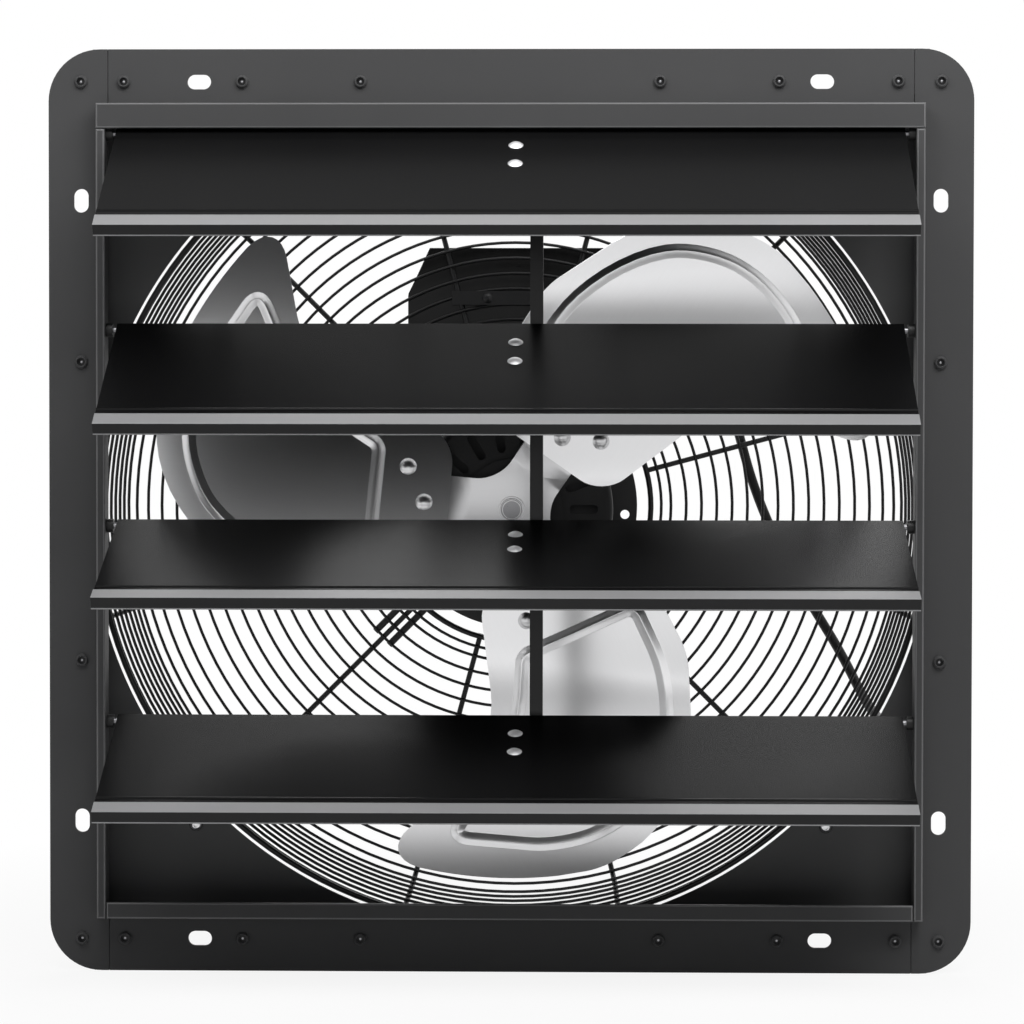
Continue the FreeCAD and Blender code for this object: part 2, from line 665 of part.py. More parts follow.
def tie_rod():
    """Upright channel with a hole for the first crank pin and slots for the others."""
    centre_y = LOUVRE_PIVOT_Y + CRANK_Y
    front = centre_y - ROD_DEPTH / 2
    back = centre_y + ROD_DEPTH / 2
    right = ROD_LEFT + ROD_WIDTH
    pins = [z + CRANK_Z for z in louvre_pivots()]
    section = folded_strip(
        [(right, back), (right, front), (ROD_LEFT, front), (ROD_LEFT, back)][::-1], ROD_SHEET
    )
    rod = prism_z(section, (pins[-1] - ROD_END_REACH, pins[0] + ROD_END_REACH))
    across = (ROD_LEFT - 1, right + 1)
    cuts = [rod_x(PIN_RADIUS + PIN_CLEARANCE, across, centre_y, pins[0])]
    half = PIN_RADIUS + ROD_SLOT_SIDE_PLAY
    for z in pins[1:]:
        slot = block(across, (centre_y - half, centre_y + half), (z - ROD_SLOT_DOWN, z + ROD_SLOT_UP))
        ends = [rod_x(half, across, centre_y, level) for level in (z - ROD_SLOT_DOWN, z + ROD_SLOT_UP)]
        cuts.append(slot.fuse(ends).removeSplitter())
    return rod.cut(cuts)


save("tie_rod", tie_rod())


# Guard
RING_RADIUS = RING_WIRE / 2
SPOKE_RADIUS = SPOKE_WIRE / 2
BASE_RADIUS = BASE_WIRE / 2
SPOKE_Y = GUARD_FACE_Y + RING_RADIUS + SPOKE_RADIUS
FACE_BACK_Y = SPOKE_Y - SPOKE_RADIUS
GUARD_BASE_Y = HOUSING_DEPTH + FOOT_SHEET + BASE_RADIUS
taper = math.radians(GUARD_SIDE_TAPER)
WIRE_STEP = RING_RADIUS + SPOKE_RADIUS
SHOULDER_Y = GUARD_FACE_Y - GUARD_SHOULDER_RADIUS
SIDE_TOP_Y = SHOULDER_Y + GUARD_SHOULDER_RADIUS * math.sin(taper)
BASE_OUT = BASE_RADIUS + SPOKE_RADIUS
# The side wires run outside the base ring and the side rings, tangent to all of them.
WIRE_BASE_RADIUS = GUARD_BASE_RADIUS + BASE_OUT * math.cos(taper)
WIRE_BASE_Y = GUARD_BASE_Y + BASE_OUT * math.sin(taper)
WIRE_BEND = GUARD_SHOULDER_RADIUS + WIRE_STEP
WIRE_TOP_Y = SHOULDER_Y + WIRE_BEND * math.sin(taper)
WIRE_TOP_RADIUS = WIRE_BASE_RADIUS - (WIRE_TOP_Y - WIRE_BASE_Y) * math.tan(taper)
SHOULDER_R = WIRE_TOP_RADIUS - WIRE_BEND * math.cos(taper)


def wire_ring(radius, y, wire_radius):
    return Part.makeTorus(radius, wire_radius, vec(0, y, 0), Y_AXIS)


def guard_profile(distance):
    """Ring centre (radius, y) at a distance along the guard, from the shoulder's start outwards."""
    bend = math.radians(90) - taper
    arc = GUARD_SHOULDER_RADIUS * bend
    if distance < arc:
        turn = distance / GUARD_SHOULDER_RADIUS
        return (
            SHOULDER_R + GUARD_SHOULDER_RADIUS * math.sin(turn),
            SHOULDER_Y + GUARD_SHOULDER_RADIUS * math.cos(turn),
        )
    run = distance - arc
    radius = SHOULDER_R + GUARD_SHOULDER_RADIUS * math.cos(taper) + run * math.sin(taper)
    return radius, SIDE_TOP_Y - run * math.cos(taper)


def face_ring_radii():
    count = int((SHOULDER_R - GUARD_FACE_RING_FIRST) / GUARD_FACE_RING_PITCH) + 1
    return [GUARD_FACE_RING_FIRST + GUARD_FACE_RING_PITCH * k for k in range(count)]


def side_ring_places():
    """Rings over the shoulder at the face pitch, then down the side at the wider pitch."""
    arc = GUARD_SHOULDER_RADIUS * (math.radians(90) - taper)
    distance = face_ring_radii()[-1] + GUARD_FACE_RING_PITCH - SHOULDER_R
    places = []
    while distance < arc:
        places.append(guard_profile(distance))
        distance += GUARD_FACE_RING_PITCH
    run_end = arc + (SIDE_TOP_Y - GUARD_BASE_Y) / math.cos(taper) - BASE_WIRE - RING_WIRE
    while distance < run_end:
        places.append(guard_profile(distance))
        distance += GUARD_SIDE_RING_PITCH
    return places


base_ring = wire_ring(GUARD_BASE_RADIUS, GUARD_BASE_Y, BASE_RADIUS)
side_rings = [wire_ring(r, y, RING_RADIUS) for r, y in side_ring_places()]
save("guard_side_rings", side_rings + [base_ring])
inner_ring_y = FACE_BACK_Y - INNER_RING_WIRE / 2
inner_ring = wire_ring(GUARD_INNER_RING_RADIUS, inner_ring_y, INNER_RING_WIRE / 2)
face_radii = GUARD_MOTOR_RINGS + face_ring_radii()
face_rings = [wire_ring(radius, GUARD_FACE_Y, RING_RADIUS) for radius in face_radii]
save("guard_face_rings", face_rings + [inner_ring])


def spoke_angles():
    return [SPOKE_FIRST_ANGLE + k * 360 / SPOKE_COUNT for k in range(SPOKE_COUNT)]


def face_spoke():
    return rod_x(SPOKE_RADIUS, (GUARD_INNER_RING_RADIUS - INNER_RING_WIRE / 2, SHOULDER_R), SPOKE_Y, 0)


def side_wire():
    """Bent wire from the end of a face spoke, round the shoulder and down to the base ring."""
    start = vec(SHOULDER_R, SPOKE_Y, 0)
    half_turn = (math.radians(90) - taper) / 2
    middle = vec(
        SHOULDER_R + WIRE_BEND * math.sin(half_turn), SHOULDER_Y + WIRE_BEND * math.cos(half_turn), 0
    )
    knee = vec(WIRE_TOP_RADIUS, WIRE_TOP_Y, 0)
    foot = vec(WIRE_BASE_RADIUS, WIRE_BASE_Y, 0)
    path = Part.Wire([Part.Arc(start, middle, knee).toShape(), Part.LineSegment(knee, foot).toShape()])
    section = Part.Wire([Part.makeCircle(SPOKE_RADIUS, start, X_AXIS)])
    return path.makePipeShell([section], True, False)


save("guard_face_spokes", [turned_y(face_spoke(), angle) for angle in spoke_angles()])
one_wire = side_wire()
save("guard_side_wires", [turned_y(one_wire, angle) for angle in spoke_angles()])


def guard_foot():
    """Flat foot under the base ring, along +X."""
    half = FOOT_WIDTH / 2
    y_range = (HOUSING_DEPTH, HOUSING_DEPTH + FOOT_SHEET)
    foot = block((FOOT_INNER_RADIUS, FOOT_OUTER_RADIUS), y_range, (-half, half))
    foot = round_edges_y(foot, [(FOOT_OUTER_RADIUS, s * half, FOOT_CORNER_RADIUS) for s in (-1, 1)])
    return foot.cut(rod_y(SCREW_SHANK_RADIUS, y_range, FOOT_SCREW_RADIUS, 0))


def foot_screw():
    face = HOUSING_DEPTH - GUSSET_SHEET
    tail = HOUSING_DEPTH + FOOT_SHEET + NUT_HEIGHT
    return socket_screw(tail, face).translated(vec(FOOT_SCREW_RADIUS, 0, 0))


DIAGONALS = [45, 135, 225, 315]
save("guard_feet", [turned_y(guard_foot(), angle) for angle in DIAGONALS])
save("guard_screws", [turned_y(foot_screw(), angle) for angle in DIAGONALS])
foot_nut = hex_nut(HOUSING_DEPTH + FOOT_SHEET, FOOT_SCREW_RADIUS, 0)
foot_nuts = [turned_y(foot_nut, angle) for angle in DIAGONALS]
save("hex_nuts", foot_nuts)


# Motor
PLATE_BACK_Y = FACE_BACK_Y
PLATE_FRONT_Y = PLATE_BACK_Y - MOTOR_PLATE_SHEET
CASING_FRONT_Y = MOTOR_FRONT_Y + FRONT_BELL_DEPTH
CASING_BACK_Y = CASING_FRONT_Y + MOTOR_CASING_LENGTH
MOTOR_BACK_Y = CASING_BACK_Y + REAR_BELL_DEPTH
MOTOR_BORE = MOTOR_RADIUS - MOTOR_WALL


def bolt_places():
    step = STANDOFF_PITCH_RADIUS / math.sqrt(2)
    return [(s * step, t * step) for s in (-1, 1) for t in (-1, 1)]


def motor_plate():
    y_range = (PLATE_FRONT_Y, PLATE_BACK_Y)
    plate = rod_y(MOTOR_PLATE_RADIUS, y_range).cut(rod_y(MOTOR_PLATE_BORE, y_range))
    holes = [rod_y(MOTOR_BOLT_RADIUS, y_range, x, z) for x, z in bolt_places()]
    x = MOTOR_PLATE_HOLE_PITCH_RADIUS * math.cos(math.radians(MOTOR_PLATE_HOLE_ANGLE))
    z = MOTOR_PLATE_HOLE_PITCH_RADIUS * math.sin(math.radians(MOTOR_PLATE_HOLE_ANGLE))
    holes += [rod_y(MOTOR_PLATE_HOLE_RADIUS, y_range, s * x, s * z) for s in (-1, 1)]
    return plate.cut(holes)


def support_wires():
    y = FACE_BACK_Y + SUPPORT_WIRE / 2
    pair = [
        rod_x(SUPPORT_WIRE / 2, (SUPPORT_WIRE_INNER, SUPPORT_WIRE_OUTER), y, s * SUPPORT_WIRE_SPREAD)
        for s in (-1, 1)
    ]
    return [turned_y(wire, angle) for angle in DIAGONALS for wire in pair]


save("motor_plate", motor_plate())
save("motor_support_wires", support_wires())


def bearing_bore(bell, y_range):
    return bell.cut(rod_y(BEARING_RADIUS, y_range))


def front_bell():
    """Cup with a rounded rim, a raised boss and radial vent slots."""
    bell = rod_y(MOTOR_RADIUS, (MOTOR_FRONT_Y, CASING_FRONT_Y))
    rim = [
        edge
        for edge in bell.Edges
        if abs(edge.CenterOfMass.y - MOTOR_FRONT_Y) < 0.01 and len(edge.Vertexes) == 1
    ]
    bell = bell.makeFillet(BELL_EDGE_RADIUS, rim)
    boss = rod_y(BELL_BOSS_RADIUS, (MOTOR_FRONT_Y - BELL_BOSS_HEIGHT, MOTOR_FRONT_Y))
    bell = bell.fuse(boss)
    pocket = ring_y(MOTOR_BORE, BEARING_RADIUS + MOTOR_WALL, (MOTOR_FRONT_Y + MOTOR_WALL, CASING_FRONT_Y))
    bell = bell.cut(pocket)
    length = VENT_OUTER_RADIUS - VENT_INNER_RADIUS
    middle = (VENT_OUTER_RADIUS + VENT_INNER_RADIUS) / 2
    deep = (MOTOR_FRONT_Y - 1, MOTOR_FRONT_Y + MOTOR_WALL + 1)
    vent = slot_y(length, VENT_WIDTH, deep, middle, 0, False)
    bell = bell.cut([turned_y(vent, k * 360 / VENT_COUNT) for k in range(VENT_COUNT)])
    bore = rod_y(SHAFT_RADIUS + ROTOR_AIR_GAP, (MOTOR_FRONT_Y - BELL_BOSS_HEIGHT, CASING_FRONT_Y))
    bearing_seat = rod_y(BEARING_RADIUS, (CASING_FRONT_Y - BEARING_WIDTH, CASING_FRONT_Y))
    return bell.cut([bore, bearing_seat])


def rear_bell():
    """Cup with a rounded rim and four standoffs that reach the motor plate."""
    bell = rod_y(MOTOR_RADIUS, (CASING_BACK_Y, MOTOR_BACK_Y))
    rim = [
        edge
        for edge in bell.Edges
        if abs(edge.CenterOfMass.y - MOTOR_BACK_Y) < 0.01 and len(edge.Vertexes) == 1
    ]
    bell = bell.makeFillet(BELL_EDGE_RADIUS, rim)
    pocket = ring_y(MOTOR_BORE, BEARING_RADIUS + MOTOR_WALL, (CASING_BACK_Y, MOTOR_BACK_Y - MOTOR_WALL))
    bell = bell.cut(pocket)
    standoff_range = (MOTOR_BACK_Y - MOTOR_WALL, PLATE_FRONT_Y)
    bell = bell.fuse([rod_y(STANDOFF_RADIUS, standoff_range, x, z) for x, z in bolt_places()])
    seat = rod_y(BEARING_RADIUS, (CASING_BACK_Y, CASING_BACK_Y + BEARING_WIDTH))
    bolts = [rod_y(MOTOR_BOLT_RADIUS, standoff_range, x, z) for x, z in bolt_places()]
    return bell.cut([seat] + bolts).removeSplitter()


save("motor_front_bell", front_bell())
save("motor_casing", ring_y(MOTOR_RADIUS, MOTOR_BORE, (CASING_FRONT_Y, CASING_BACK_Y)))
save("motor_rear_bell", rear_bell())
core_y = (CASING_FRONT_Y + CORE_END_GAP, CASING_BACK_Y - CORE_END_GAP)
save("motor_stator", ring_y(MOTOR_BORE, STATOR_INNER_RADIUS, core_y))
bearing_ranges = [
    (CASING_FRONT_Y - BEARING_WIDTH, CASING_FRONT_Y),
    (CASING_BACK_Y, CASING_BACK_Y + BEARING_WIDTH),
]
save(
    "motor_bearings",
    [ring_y(BEARING_RADIUS, SHAFT_RADIUS + SHAFT_CLEARANCE, span) for span in bearing_ranges],
)


def motor_bolt(x, z):
    shank = rod_y(MOTOR_BOLT_RADIUS, (MOTOR_BACK_Y - MOTOR_WALL, PLATE_BACK_Y), x, z)
    head = rod_y(MOTOR_BOLT_HEAD_RADIUS, (PLATE_BACK_Y, PLATE_BACK_Y + MOTOR_BOLT_HEAD_HEIGHT), x, z)
    return shank.fuse(head).removeSplitter()


save("motor_bolts", [motor_bolt(x, z) for x, z in bolt_places()])


# Fan: every blade lies on a cylinder whose axis is parallel to its arm
pitch = math.radians(BLADE_PITCH_ANGLE)
CAMBER_V = -BLADE_CAMBER_RADIUS * math.sin(pitch)
CAMBER_Y = FAN_PLANE_Y - BLADE_CAMBER_RADIUS * math.cos(pitch)


def camber_layer(inner, outer):
    """Part of a tube along X, between two distances from the blade's front face."""
    reach = FAN_TIP_RADIUS + CAMBER_MARGIN
    centre = vec(-reach, CAMBER_Y, CAMBER_V)
    tubes = [Part.makeCylinder(BLADE_CAMBER_RADIUS + d, 2 * reach, centre, X_AXIS) for d in (inner, outer)]
    return tubes[1].cut(tubes[0])


def layer_depth(distance, v):
    """Y of the layer at this distance behind the blade's front face, at v beside the arm's axis."""
    return CAMBER_Y + math.sqrt((BLADE_CAMBER_RADIUS + distance) ** 2 - (v - CAMBER_V) ** 2)


# Blade outline beside its arm: (along the arm, across it, corner radius)
BLADE_OUTLINE = [
    (BLADE_ROOT, -46, 26),
    (BLADE_ROOT, 36, 12),
    (84, 66, 24),
    (140, 68.5, 50),
    (242, 28, 95),
    (258, -77, 0),
    (290, -200, 0),
    (190, -214, 0),
    (150.5, -80.6, 80),
]
BLADE_LOBE_RADIUS = 16.0
# Line of the pressed bead in the same places
BEAD_OUTLINE = [
    (95, -36.8, 5.5),
    (152.3, -67.7, 124.5),
    (191.3, -136.3, 5.5),
    (228, -66, 35.5),
    (226.5, -8.9, 40.5),
    (169.6, 48, 55.5),
    (95, 48, 6.5),
]
BLADE_Y_RANGE = (FAN_PLANE_Y - BLADE_CUT_REACH, FAN_PLANE_Y + BLADE_CUT_REACH)


def rounded_prism(outline):
    solid = prism_y([(u, v) for u, v, _ in outline], BLADE_Y_RANGE)
    return round_edges_y(solid, [corner for corner in outline if corner[2] > 0])


def blade_prism():
    """The blade's outline seen along the fan axis, with its tip on the tip circle."""
    solid = rounded_prism(BLADE_OUTLINE).common(rod_y(FAN_TIP_RADIUS, BLADE_Y_RANGE))
    tips = []
    for vertex in solid.Vertexes:
        place = (round(vertex.X, 2), round(vertex.Z, 2))
        if abs(math.hypot(*place) - FAN_TIP_RADIUS) < 0.05 and place not in tips:
            tips.append(place)
    x, z = min(tips, key=lambda place: place[1])
    return round_edges_y(solid, [(x, z, BLADE_LOBE_RADIUS)])


def bead_prism(width):
    """A band of this width along the bead's line."""
    line = rounded_prism(BEAD_OUTLINE)
    base = [face for face in line.Faces if abs(face.CenterOfMass.y - BLADE_Y_RANGE[0]) < 0.01][0]
    outer = base.makeOffset2D(width / 2)
    inner = base.makeOffset2D(-width / 2)
    return outer.cut(inner).extrude(vec(0, BLADE_Y_RANGE[1] - BLADE_Y_RANGE[0], 0))


def blade_rivet_places():
    spread = math.radians(BLADE_RIVET_SPREAD)
    places = [(BLADE_RIVET_INNER, 0.0)]
    for side in (-1, 1):
        places.append((BLADE_RIVET_OUTER * math.cos(spread), side * BLADE_RIVET_OUTER * math.sin(spread)))
    return places


def fan_blade():
    """Cambered sheet with a pressed bead, along +X."""
    sheet = blade_prism().common(camber_layer(0, BLADE_SHEET))
    bead = bead_prism(BEAD_WIDTH).common(camber_layer(-BEAD_HEIGHT, 0))
    groove = bead_prism(BEAD_WIDTH - 2 * BEAD_WALL).common(
        camber_layer(BLADE_SHEET - BEAD_HEIGHT, BLADE_SHEET)
    )
    blade = sheet.fuse(bead).cut(groove)
    holes = [rod_y(BLADE_RIVET_SHANK_RADIUS, BLADE_Y_RANGE, u, v) for u, v in blade_rivet_places()]
    return blade.cut(holes)


def star_outline():
    """Flat middle of the spider: the roots of its arms and the points between them."""
    half = SPIDER_ARM_HALF_WIDTH
    step = 2 * math.pi / BLADE_COUNT
    crotch = half / math.sin(step / 2)
    corners = []
    for k in range(BLADE_COUNT):
        for along, across, turn in (
            (SPIDER_FLAT_REACH, -half, k * step),
            (SPIDER_FLAT_REACH, half, k * step),
            (crotch, 0, (k + 0.5) * step),
        ):
            x = along * math.cos(turn) - across * math.sin(turn)
            z = along * math.sin(turn) + across * math.cos(turn)
            corners.append((x, z))
    return corners, corners[2::3]


def arm_section():
    """Cross-section of an arm where it meets the blade."""
    half = SPIDER_ARM_HALF_WIDTH
    front, back = [
        [vec(BLADE_ROOT, layer_depth(distance, v), v) for v in (-half, 0, half)]
        for distance in (BLADE_SHEET, BLADE_SHEET + SPIDER_SHEET)
    ]
    return Part.Wire(
        [
            Part.Arc(*front).toShape(),
            Part.LineSegment(front[2], back[2]).toShape(),
            Part.Arc(*reversed(back)).toShape(),
            Part.LineSegment(back[0], front[0]).toShape(),
        ]
    )


def spider_arm(y_range):
    """Arm that twists from the flat middle up to the blade's back face, and a paddle under the blade."""
    half = SPIDER_ARM_HALF_WIDTH
    corners = [(y_range[0], -half), (y_range[0], half), (y_range[1], half), (y_range[1], -half)]
    root = Part.makePolygon([vec(SPIDER_FLAT_REACH, y, v) for y, v in corners + corners[:1]])
    twist = Part.makeLoft([root, arm_section()], True, True)
    end_half = SPIDER_END_HALF_WIDTH
    paddle = prism_y(
        [(BLADE_ROOT, -half), (SPIDER_ARM_REACH, -end_half), (SPIDER_ARM_REACH, end_half), (BLADE_ROOT, half)],
        BLADE_Y_RANGE,
    )
    paddle = round_edges_y(paddle, [(SPIDER_ARM_REACH, s * end_half, SPIDER_END_RADIUS) for s in (-1, 1)])
    paddle = paddle.common(camber_layer(BLADE_SHEET, BLADE_SHEET + SPIDER_SHEET))
    return twist.fuse(paddle)


def fan_spider():
    """Flat star with a hub behind it and three twisted arms."""
    front = FAN_PLANE_Y + BLADE_SHEET
    y_range = (front, front + SPIDER_SHEET)
    corners, crotches = star_outline()
    star = round_edges_y(prism_y(corners, y_range), [(x, z, SPIDER_CROTCH_RADIUS) for x, z in crotches])
    hub = rod_y(HUB_RADIUS, (front, front + HUB_TAIL))
    angles = [k * 360 / BLADE_COUNT for k in range(BLADE_COUNT)]
    arm = spider_arm(y_range)
    spider = star.fuse([hub] + [turned_y(arm, angle) for angle in angles]).removeSplitter()
    spider = spider.cut(rod_y(SHAFT_RADIUS, (front, front + HUB_TAIL)))
    holes = [rod_y(BLADE_RIVET_SHANK_RADIUS, BLADE_Y_RANGE, u, v) for u, v in blade_rivet_places()]
    return spider.cut([turned_y(hole, angle) for angle in angles for hole in holes])


def blade_rivet(u, v):
    """Rivet along the fan axis through blade and arm, with a round head on the blade."""
    front = layer_depth(0, v)
    slope = (v - CAMBER_V) / math.sqrt(BLADE_CAMBER_RADIUS**2 - (v - CAMBER_V) ** 2)
    normal = vec(0, -1, -slope).normalize()
    base = vec(u, front, v)
    shank_length = (BLADE_SHEET + SPIDER_SHEET) / abs(normal.y)
    shank = rod_y(BLADE_RIVET_SHANK_RADIUS, (front - BLADE_RIVET_HEAD_HEIGHT, front + shank_length), u, v)
    sphere = (BLADE_RIVET_HEAD_RADIUS**2 + BLADE_RIVET_HEAD_HEIGHT**2) / (2 * BLADE_RIVET_HEAD_HEIGHT)
    ball = Part.makeSphere(sphere, base - normal * (sphere - BLADE_RIVET_HEAD_HEIGHT))
    start = vec(u - 2 * sphere, CAMBER_Y, CAMBER_V)
    outside = Part.makeCylinder(BLADE_CAMBER_RADIUS, 4 * sphere, start, X_AXIS)
    head = ball.common(outside)
    return head.fuse(shank.common(ball.fuse(camber_layer(0, BLADE_SHEET + SPIDER_SHEET)))).removeSplitter()


one_blade = fan_blade()
blade_angles = [BLADE_FIRST_ANGLE + k * 360 / BLADE_COUNT for k in range(BLADE_COUNT)]
for number, angle in enumerate(blade_angles, 1):
    save("fan_blade_" + str(number), turned_y(one_blade, angle))
save("fan_spider", turned_y(fan_spider(), BLADE_FIRST_ANGLE))
rivets = [blade_rivet(u, v) for u, v in blade_rivet_places()]
save("blade_rivets", [turned_y(rivet, angle) for angle in blade_angles for rivet in rivets])
HUB_FRONT_Y = FAN_PLANE_Y + BLADE_SHEET
NUT_FRONT_Y = HUB_FRONT_Y - LOCK_NUT_HEIGHT
shaft_span = (NUT_FRONT_Y - SHAFT_NOSE, CASING_BACK_Y + BEARING_WIDTH)
save("motor_shaft", rod_y(SHAFT_RADIUS, shaft_span))
save("lock_nut", ring_y(LOCK_NUT_RADIUS, SHAFT_RADIUS, (NUT_FRONT_Y, HUB_FRONT_Y)))
save("rotor_core", ring_y(STATOR_INNER_RADIUS - ROTOR_AIR_GAP, SHAFT_RADIUS, core_y))


# Junction box on the back of the guard
BOX_FRONT_Y = SPOKE_Y + SPOKE_RADIUS
BOX_BACK_Y = BOX_FRONT_Y + BOX_DEPTH
CLAMP_BACK_Y = GUARD_FACE_Y - RING_RADIUS
CLAMP_SCREW_RADIUS = GUARD_FACE_RING_FIRST + CLAMP_RINGS_OUT * GUARD_FACE_RING_PITCH
CLAMP_Z = math.sqrt(CLAMP_SCREW_RADIUS**2 - CLAMP_SCREW_X**2)


def box_outline(grow):
    """Six-sided outline of the box, made larger all round by about this much."""
    right = [
        (BOX_TOP_HALF_WIDTH + grow, BOX_TOP_Z + grow),
        (BOX_HALF_WIDTH + grow, BOX_SHOULDER_Z),
        (BOX_HALF_WIDTH + grow, BOX_WAIST_Z),
        (BOX_BOTTOM_HALF_WIDTH + grow, BOX_BOTTOM_Z - grow),
    ]
    return right + [(-x, z) for x, z in reversed(right)]


def cover_screw_places():
    low = BOX_BOTTOM_Z + BOX_WALL / 2 + COVER_POST_RADIUS
    high = BOX_TOP_Z - BOX_WALL / 2 - COVER_POST_RADIUS
    return [(s * COVER_SCREW_X, z) for s in (-1, 1) for z in (low, high)]


def junction_box():
    box = prism_y(box_outline(0), (BOX_FRONT_Y, BOX_BACK_Y))
    box = box.cut(prism_y(box_outline(-BOX_WALL), (BOX_FRONT_Y + BOX_WALL, BOX_BACK_Y)))
    floor_y = BOX_FRONT_Y + BOX_WALL
    posts = [rod_y(COVER_POST_RADIUS, (floor_y, BOX_BACK_Y), x, z) for x, z in cover_screw_places()]
    box = box.fuse(posts).removeSplitter()
    bored = (BOX_BACK_Y - BOX_DEPTH / 2, BOX_BACK_Y)
    holes = [rod_y(COVER_SCREW_RADIUS, bored, x, z) for x, z in cover_screw_places()]
    for s in (-1, 1):
        holes.append(rod_y(COVER_SCREW_RADIUS, (BOX_FRONT_Y, floor_y), s * CLAMP_SCREW_X, CLAMP_Z))
    return box.cut(holes)


def box_cover():
    outline = box_outline(COVER_OVERLAP)
    cover = prism_y(outline, (BOX_BACK_Y, BOX_BACK_Y + COVER_THICKNESS))
    through = (BOX_BACK_Y, BOX_BACK_Y + COVER_THICKNESS)
    return cover.cut([rod_y(COVER_SCREW_RADIUS, through, x, z) for x, z in cover_screw_places()])


def cover_screw(x, z):
    top = BOX_BACK_Y + COVER_THICKNESS
    shank = rod_y(COVER_SCREW_RADIUS, (BOX_BACK_Y - BOX_DEPTH / 2, top), x, z)
    return shank.fuse(dome(COVER_SCREW_HEAD_RADIUS, COVER_SCREW_HEAD_HEIGHT, top, x, z, 1)).removeSplitter()


def clamp_strip():
    y_range = (CLAMP_BACK_Y - CLAMP_SHEET, CLAMP_BACK_Y)
    z_range = (CLAMP_Z - CLAMP_HALF_HEIGHT, CLAMP_Z + CLAMP_HALF_HEIGHT)
    strip = block((-CLAMP_HALF_WIDTH, CLAMP_HALF_WIDTH), y_range, z_range)
    return strip.cut([rod_y(COVER_SCREW_RADIUS, y_range, s * CLAMP_SCREW_X, CLAMP_Z) for s in (-1, 1)])


def clamp_screw(x):
    face = CLAMP_BACK_Y - CLAMP_SHEET
    shank = rod_y(COVER_SCREW_RADIUS, (face, BOX_FRONT_Y + BOX_WALL), x, CLAMP_Z)
    head = dome(COVER_SCREW_HEAD_RADIUS, COVER_SCREW_HEAD_HEIGHT, face, x, CLAMP_Z, -1)
    return shank.fuse(head).removeSplitter()


GLAND_Y = (BOX_FRONT_Y + BOX_BACK_Y) / 2


def cable_gland():
    """Collar on the sloping lower side of the box, with a tapered relief that holds the cord."""
    slope = math.atan2(BOX_HALF_WIDTH - BOX_BOTTOM_HALF_WIDTH, BOX_WAIST_Z - BOX_BOTTOM_Z)
    side_x = BOX_HALF_WIDTH - (BOX_WAIST_Z - GLAND_Z) * math.tan(slope)
    end_x = side_x + GLAND_LENGTH + GLAND_RADIUS * math.tan(slope)
    body = rod_x(GLAND_RADIUS, (BOX_BOTTOM_HALF_WIDTH, end_x), GLAND_Y, GLAND_Z)
    body = body.cut(prism_y(box_outline(0), (BOX_FRONT_Y, BOX_BACK_Y)))
    edges = [edge for edge in body.Edges if abs(edge.CenterOfMass.x - end_x) < 0.01]
    body = body.makeFillet(GLAND_EDGE_RADIUS, edges)
    foot = vec(end_x, GLAND_Y, GLAND_Z)
    relief = Part.makeCone(RELIEF_ROOT_RADIUS, RELIEF_END_RADIUS, RELIEF_LENGTH, foot, X_AXIS)
    return body.fuse(relief).removeSplitter(), end_x + RELIEF_LENGTH


save("junction_box", junction_box())
save("junction_box_cover", box_cover())
clamp_screws = [clamp_screw(s * CLAMP_SCREW_X) for s in (-1, 1)]
save("box_screws", [cover_screw(x, z) for x, z in cover_screw_places()] + clamp_screws)
save("box_clamp", clamp_strip())
gland, gland_end_x = cable_gland()
save("cable_gland", gland)

# Mains cord
CORD_RADIUS = CORD_DIAMETER / 2
COIL_FRONT_Y = HOUSING_DEPTH + FOOT_SHEET + NUT_HEIGHT + CORD_RADIUS
COIL_BACK_Y = COIL_FRONT_Y + COIL_LAYER_PITCH * (COIL_LAYERS - 1)
COIL_OUTER_RADIUS = COIL_INNER_RADIUS + COIL_PITCH / 2 * COIL_HALF_TURNS_PER_LAYER


def tangent_arc(start, tangent, end):
    """Arc from start along tangent to end, with its direction at the end."""
    chord = end - start
    along = FreeCAD.Vector(chord).normalize()
    across = tangent - along * tangent.dot(along)
    turn = math.acos(max(-1.0, min(1.0, tangent.dot(along))))
    across.normalize()
    middle = (start + end) * 0.5 + across * (chord.Length / 2 * math.tan(turn / 2))
    leave = along * (2 * tangent.dot(along)) - tangent
    return Part.Arc(start, middle, end).toShape(), leave


def coil_steps():
    """Change of radius in each half turn: in and out by layers, with None where the coil climbs."""
    step = COIL_PITCH / 2
    steps = []
    for layer in range(COIL_LAYERS):
        change = -step if layer % 2 == 0 else step
        steps += [change] * COIL_HALF_TURNS_PER_LAYER + [None]
    return steps[:-1]


